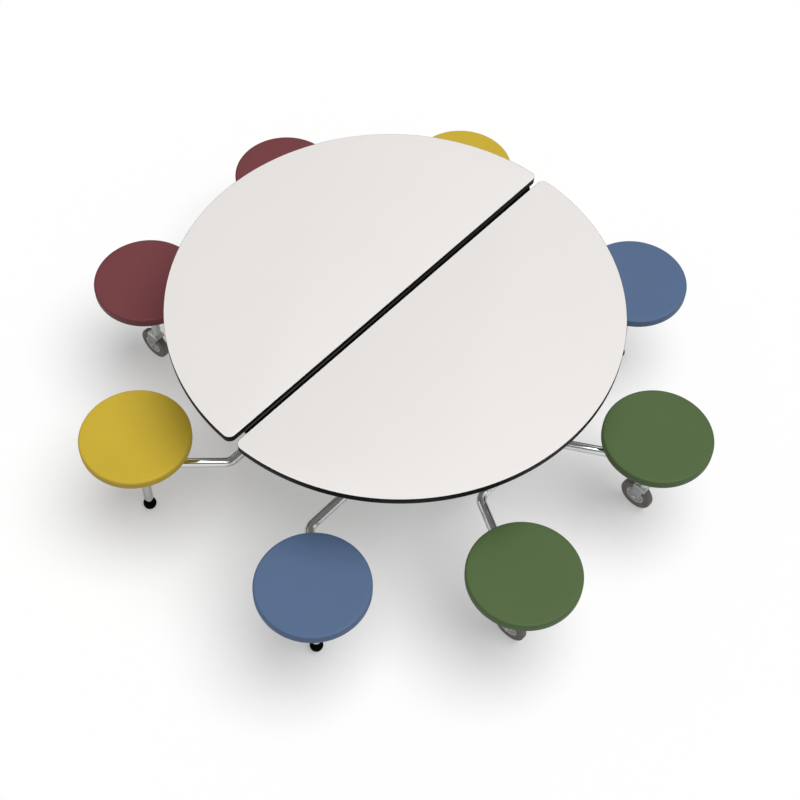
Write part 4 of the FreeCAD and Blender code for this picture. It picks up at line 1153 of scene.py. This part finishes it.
class BuildStage(bpy.types.Operator):
    """White floor and surround, soft light and the camera"""
    bl_idname = "folding_table.build_stage"
    bl_label = "Build stage"

    def execute(self, context):
        stage = settings().stage
        self.floor(stage)
        self.cards()
        self.surround(stage.sky_power)
        lamp = bpy.data.lights.new("soft overhead light", "SUN")
        lamp.energy = stage.sun_power
        lamp.angle = math.radians(50)
        holder = bpy.data.objects.new("soft overhead light", lamp)
        azimuth, height = math.radians(20), math.radians(75)
        aim = np.array([math.cos(azimuth) * math.cos(height),
                        math.sin(azimuth) * math.cos(height), math.sin(height)])
        side = unit(np.cross((0, 0, 1.0), aim))
        holder.matrix_world = Matrix(np.column_stack([side, np.cross(aim, side), aim]).tolist()
                                     ).to_4x4()
        context.scene.collection.objects.link(holder)
        self.camera(context)
        context.scene.view_settings.view_transform = "Standard"
        return {"FINISHED"}

    @staticmethod
    def prop(name, points, faces, shade):
        """A mesh of the stage, in metres."""
        mesh = bpy.data.meshes.new(name)
        mesh.from_pydata(points.tolist(), [], faces)
        mesh.materials.append(shade.material)
        item = bpy.data.objects.new(name, mesh)
        bpy.context.scene.collection.objects.link(item)
        return item

    def floor(self, stage):
        """A wide disc, white to the camera where no shadow falls, open from below.

        It gives an even light to what stands over it."""
        shade = Shade("studio floor")
        camera, mirrored = shade.rays()
        white = shade.add("ShaderNodeBsdfDiffuse", None, {"Color": WHITE})
        glowing = shade.add("ShaderNodeEmission", None, {"Color": WHITE, "Strength": 1.0})
        glow = stage.floor_glow * camera + stage.mirror_glow * mirrored
        shown = shade.add("ShaderNodeMixShader", None, {0: glow, 1: white, 2: glowing})
        bounce = shade.add("ShaderNodeEmission", None,
                           {"Color": WHITE, "Strength": stage.floor_bounce})
        mixed = shade.add("ShaderNodeMixShader", None,
                          {0: camera + mirrored, 1: bounce, 2: shown})
        back = Wire(shade, shade.add("ShaderNodeNewGeometry").socket.node.outputs["Backfacing"])
        clear = shade.add("ShaderNodeBsdfTransparent")
        last = shade.add("ShaderNodeMixShader", None, {0: back * camera, 1: mixed, 2: clear})
        shade.join(last, shade.tree.nodes["Material Output"].inputs["Surface"])
        a = np.linspace(0, TAU, 96, endpoint=False)
        ring = np.stack([FLOOR_RADIUS * np.cos(a), FLOOR_RADIUS * np.sin(a),
                         np.full(len(a), FLOOR_LEVEL)], axis=1)
        self.prop("floor", ring, [list(range(len(a)))], shade)

    def cards(self):
        """Black cards which only polished surfaces see; they draw dark lines along the tubes."""
        shade = Shade("black card", specular_ior_level=0.0)
        shade.finish((0.01, 0.01, 0.01, 1), 0.9)
        steps = 40
        for number, (low, high, start, end) in enumerate(CARDS):
            a = arc(start, end, steps)
            rows = [np.stack([r * np.cos(a), r * np.sin(a), np.full(steps, z)], axis=1)
                    for r, z in (low, high)]
            first = np.arange(steps - 1)
            faces = np.stack([first, first + 1, first + steps + 1, first + steps], axis=-1)
            item = self.prop("black card %d" % number, np.concatenate(rows), faces.tolist(), shade)
            item.visible_camera = False
            item.visible_diffuse = False
            item.visible_transmission = False
            item.visible_shadow = False

    @staticmethod
    def surround(power):
        """White all round: full white where it is seen, weaker where it lights."""
        world = bpy.data.worlds.new("white surround")
        bpy.context.scene.world = world
        world.use_nodes = True
        nodes = Nodes(world.node_tree)
        camera, mirrored = nodes.rays()
        sky = world.node_tree.nodes["Background"]
        nodes.join(power + (1 - power) * (camera + mirrored), sky.inputs["Strength"])
        sky.inputs["Color"].default_value = WHITE

    @staticmethod
    def camera(context):
        """A camera that looks down on the table across one corner of the fold line."""
        azimuth, height, roll = (math.radians(v) for v in (40.7267, 55.3047, 1.6431))
        distance, shift_x, shift_y = 5.762803, 0.0242384, 0.104407
        back = np.array([math.sin(azimuth) * math.cos(height),
                         -math.cos(azimuth) * math.cos(height), math.sin(height)])
        right = np.array([math.cos(azimuth), math.sin(azimuth), 0.0])
        up = np.cross(back, right)
        place = back * distance + right * shift_x + up * shift_y
        across = math.cos(roll) * right + math.sin(roll) * up
        above = math.cos(roll) * up - math.sin(roll) * right
        data = bpy.data.cameras.new("camera")
        data.lens = 69.547
        data.sensor_width = 36.0
        data.clip_end = 200.0
        camera = bpy.data.objects.new("camera", data)
        world = Matrix(np.column_stack([across, above, back]).tolist()).to_4x4()
        world.translation = place
        camera.matrix_world = world
        context.scene.collection.objects.link(camera)
        context.scene.camera = camera


class TablePanel(bpy.types.Panel):
    """Settings and build steps of the folding table"""
    bl_idname = "VIEW3D_PT_folding_table"
    bl_label = "Folding table"
    bl_space_type = "VIEW_3D"
    bl_region_type = "UI"
    bl_category = "Folding table"

    def draw(self, context):
        layout = self.layout
        table = context.scene.folding_table
        for group in (table.top, table.seat, table.metal, table.wheel, table.stage):
            box = layout.box()
            for name in group.bl_rna.properties.keys():
                if name not in ("rna_type", "name"):
                    box.prop(group, name)
        for step in STEPS:
            layout.operator(step.bl_idname)


STEPS = (BuildTop, BuildUnderside, BuildFrames, BuildStays, BuildSeats, BuildCasters,
         BuildFeet, BuildStage)
GROUPS = (TopSettings, SeatSettings, MetalSettings, WheelSettings, StageSettings, TableSettings)


def register():
    """Register every class and hang the settings on the scene."""
    for item in GROUPS + STEPS + (TablePanel,):
        bpy.utils.register_class(item)
    bpy.types.Scene.folding_table = bpy.props.PointerProperty(type=TableSettings)


def unregister():
    """Take the settings off the scene and every class out again."""
    del bpy.types.Scene.folding_table
    for item in reversed(GROUPS + STEPS + (TablePanel,)):
        bpy.utils.unregister_class(item)


def main():
    """Build every piece and the stage."""
    register()
    for step in STEPS:
        group, name = step.bl_idname.split(".")
        getattr(getattr(bpy.ops, group), name)()
    bpy.context.view_layer.update()


if __name__ == "__main__":
    main()
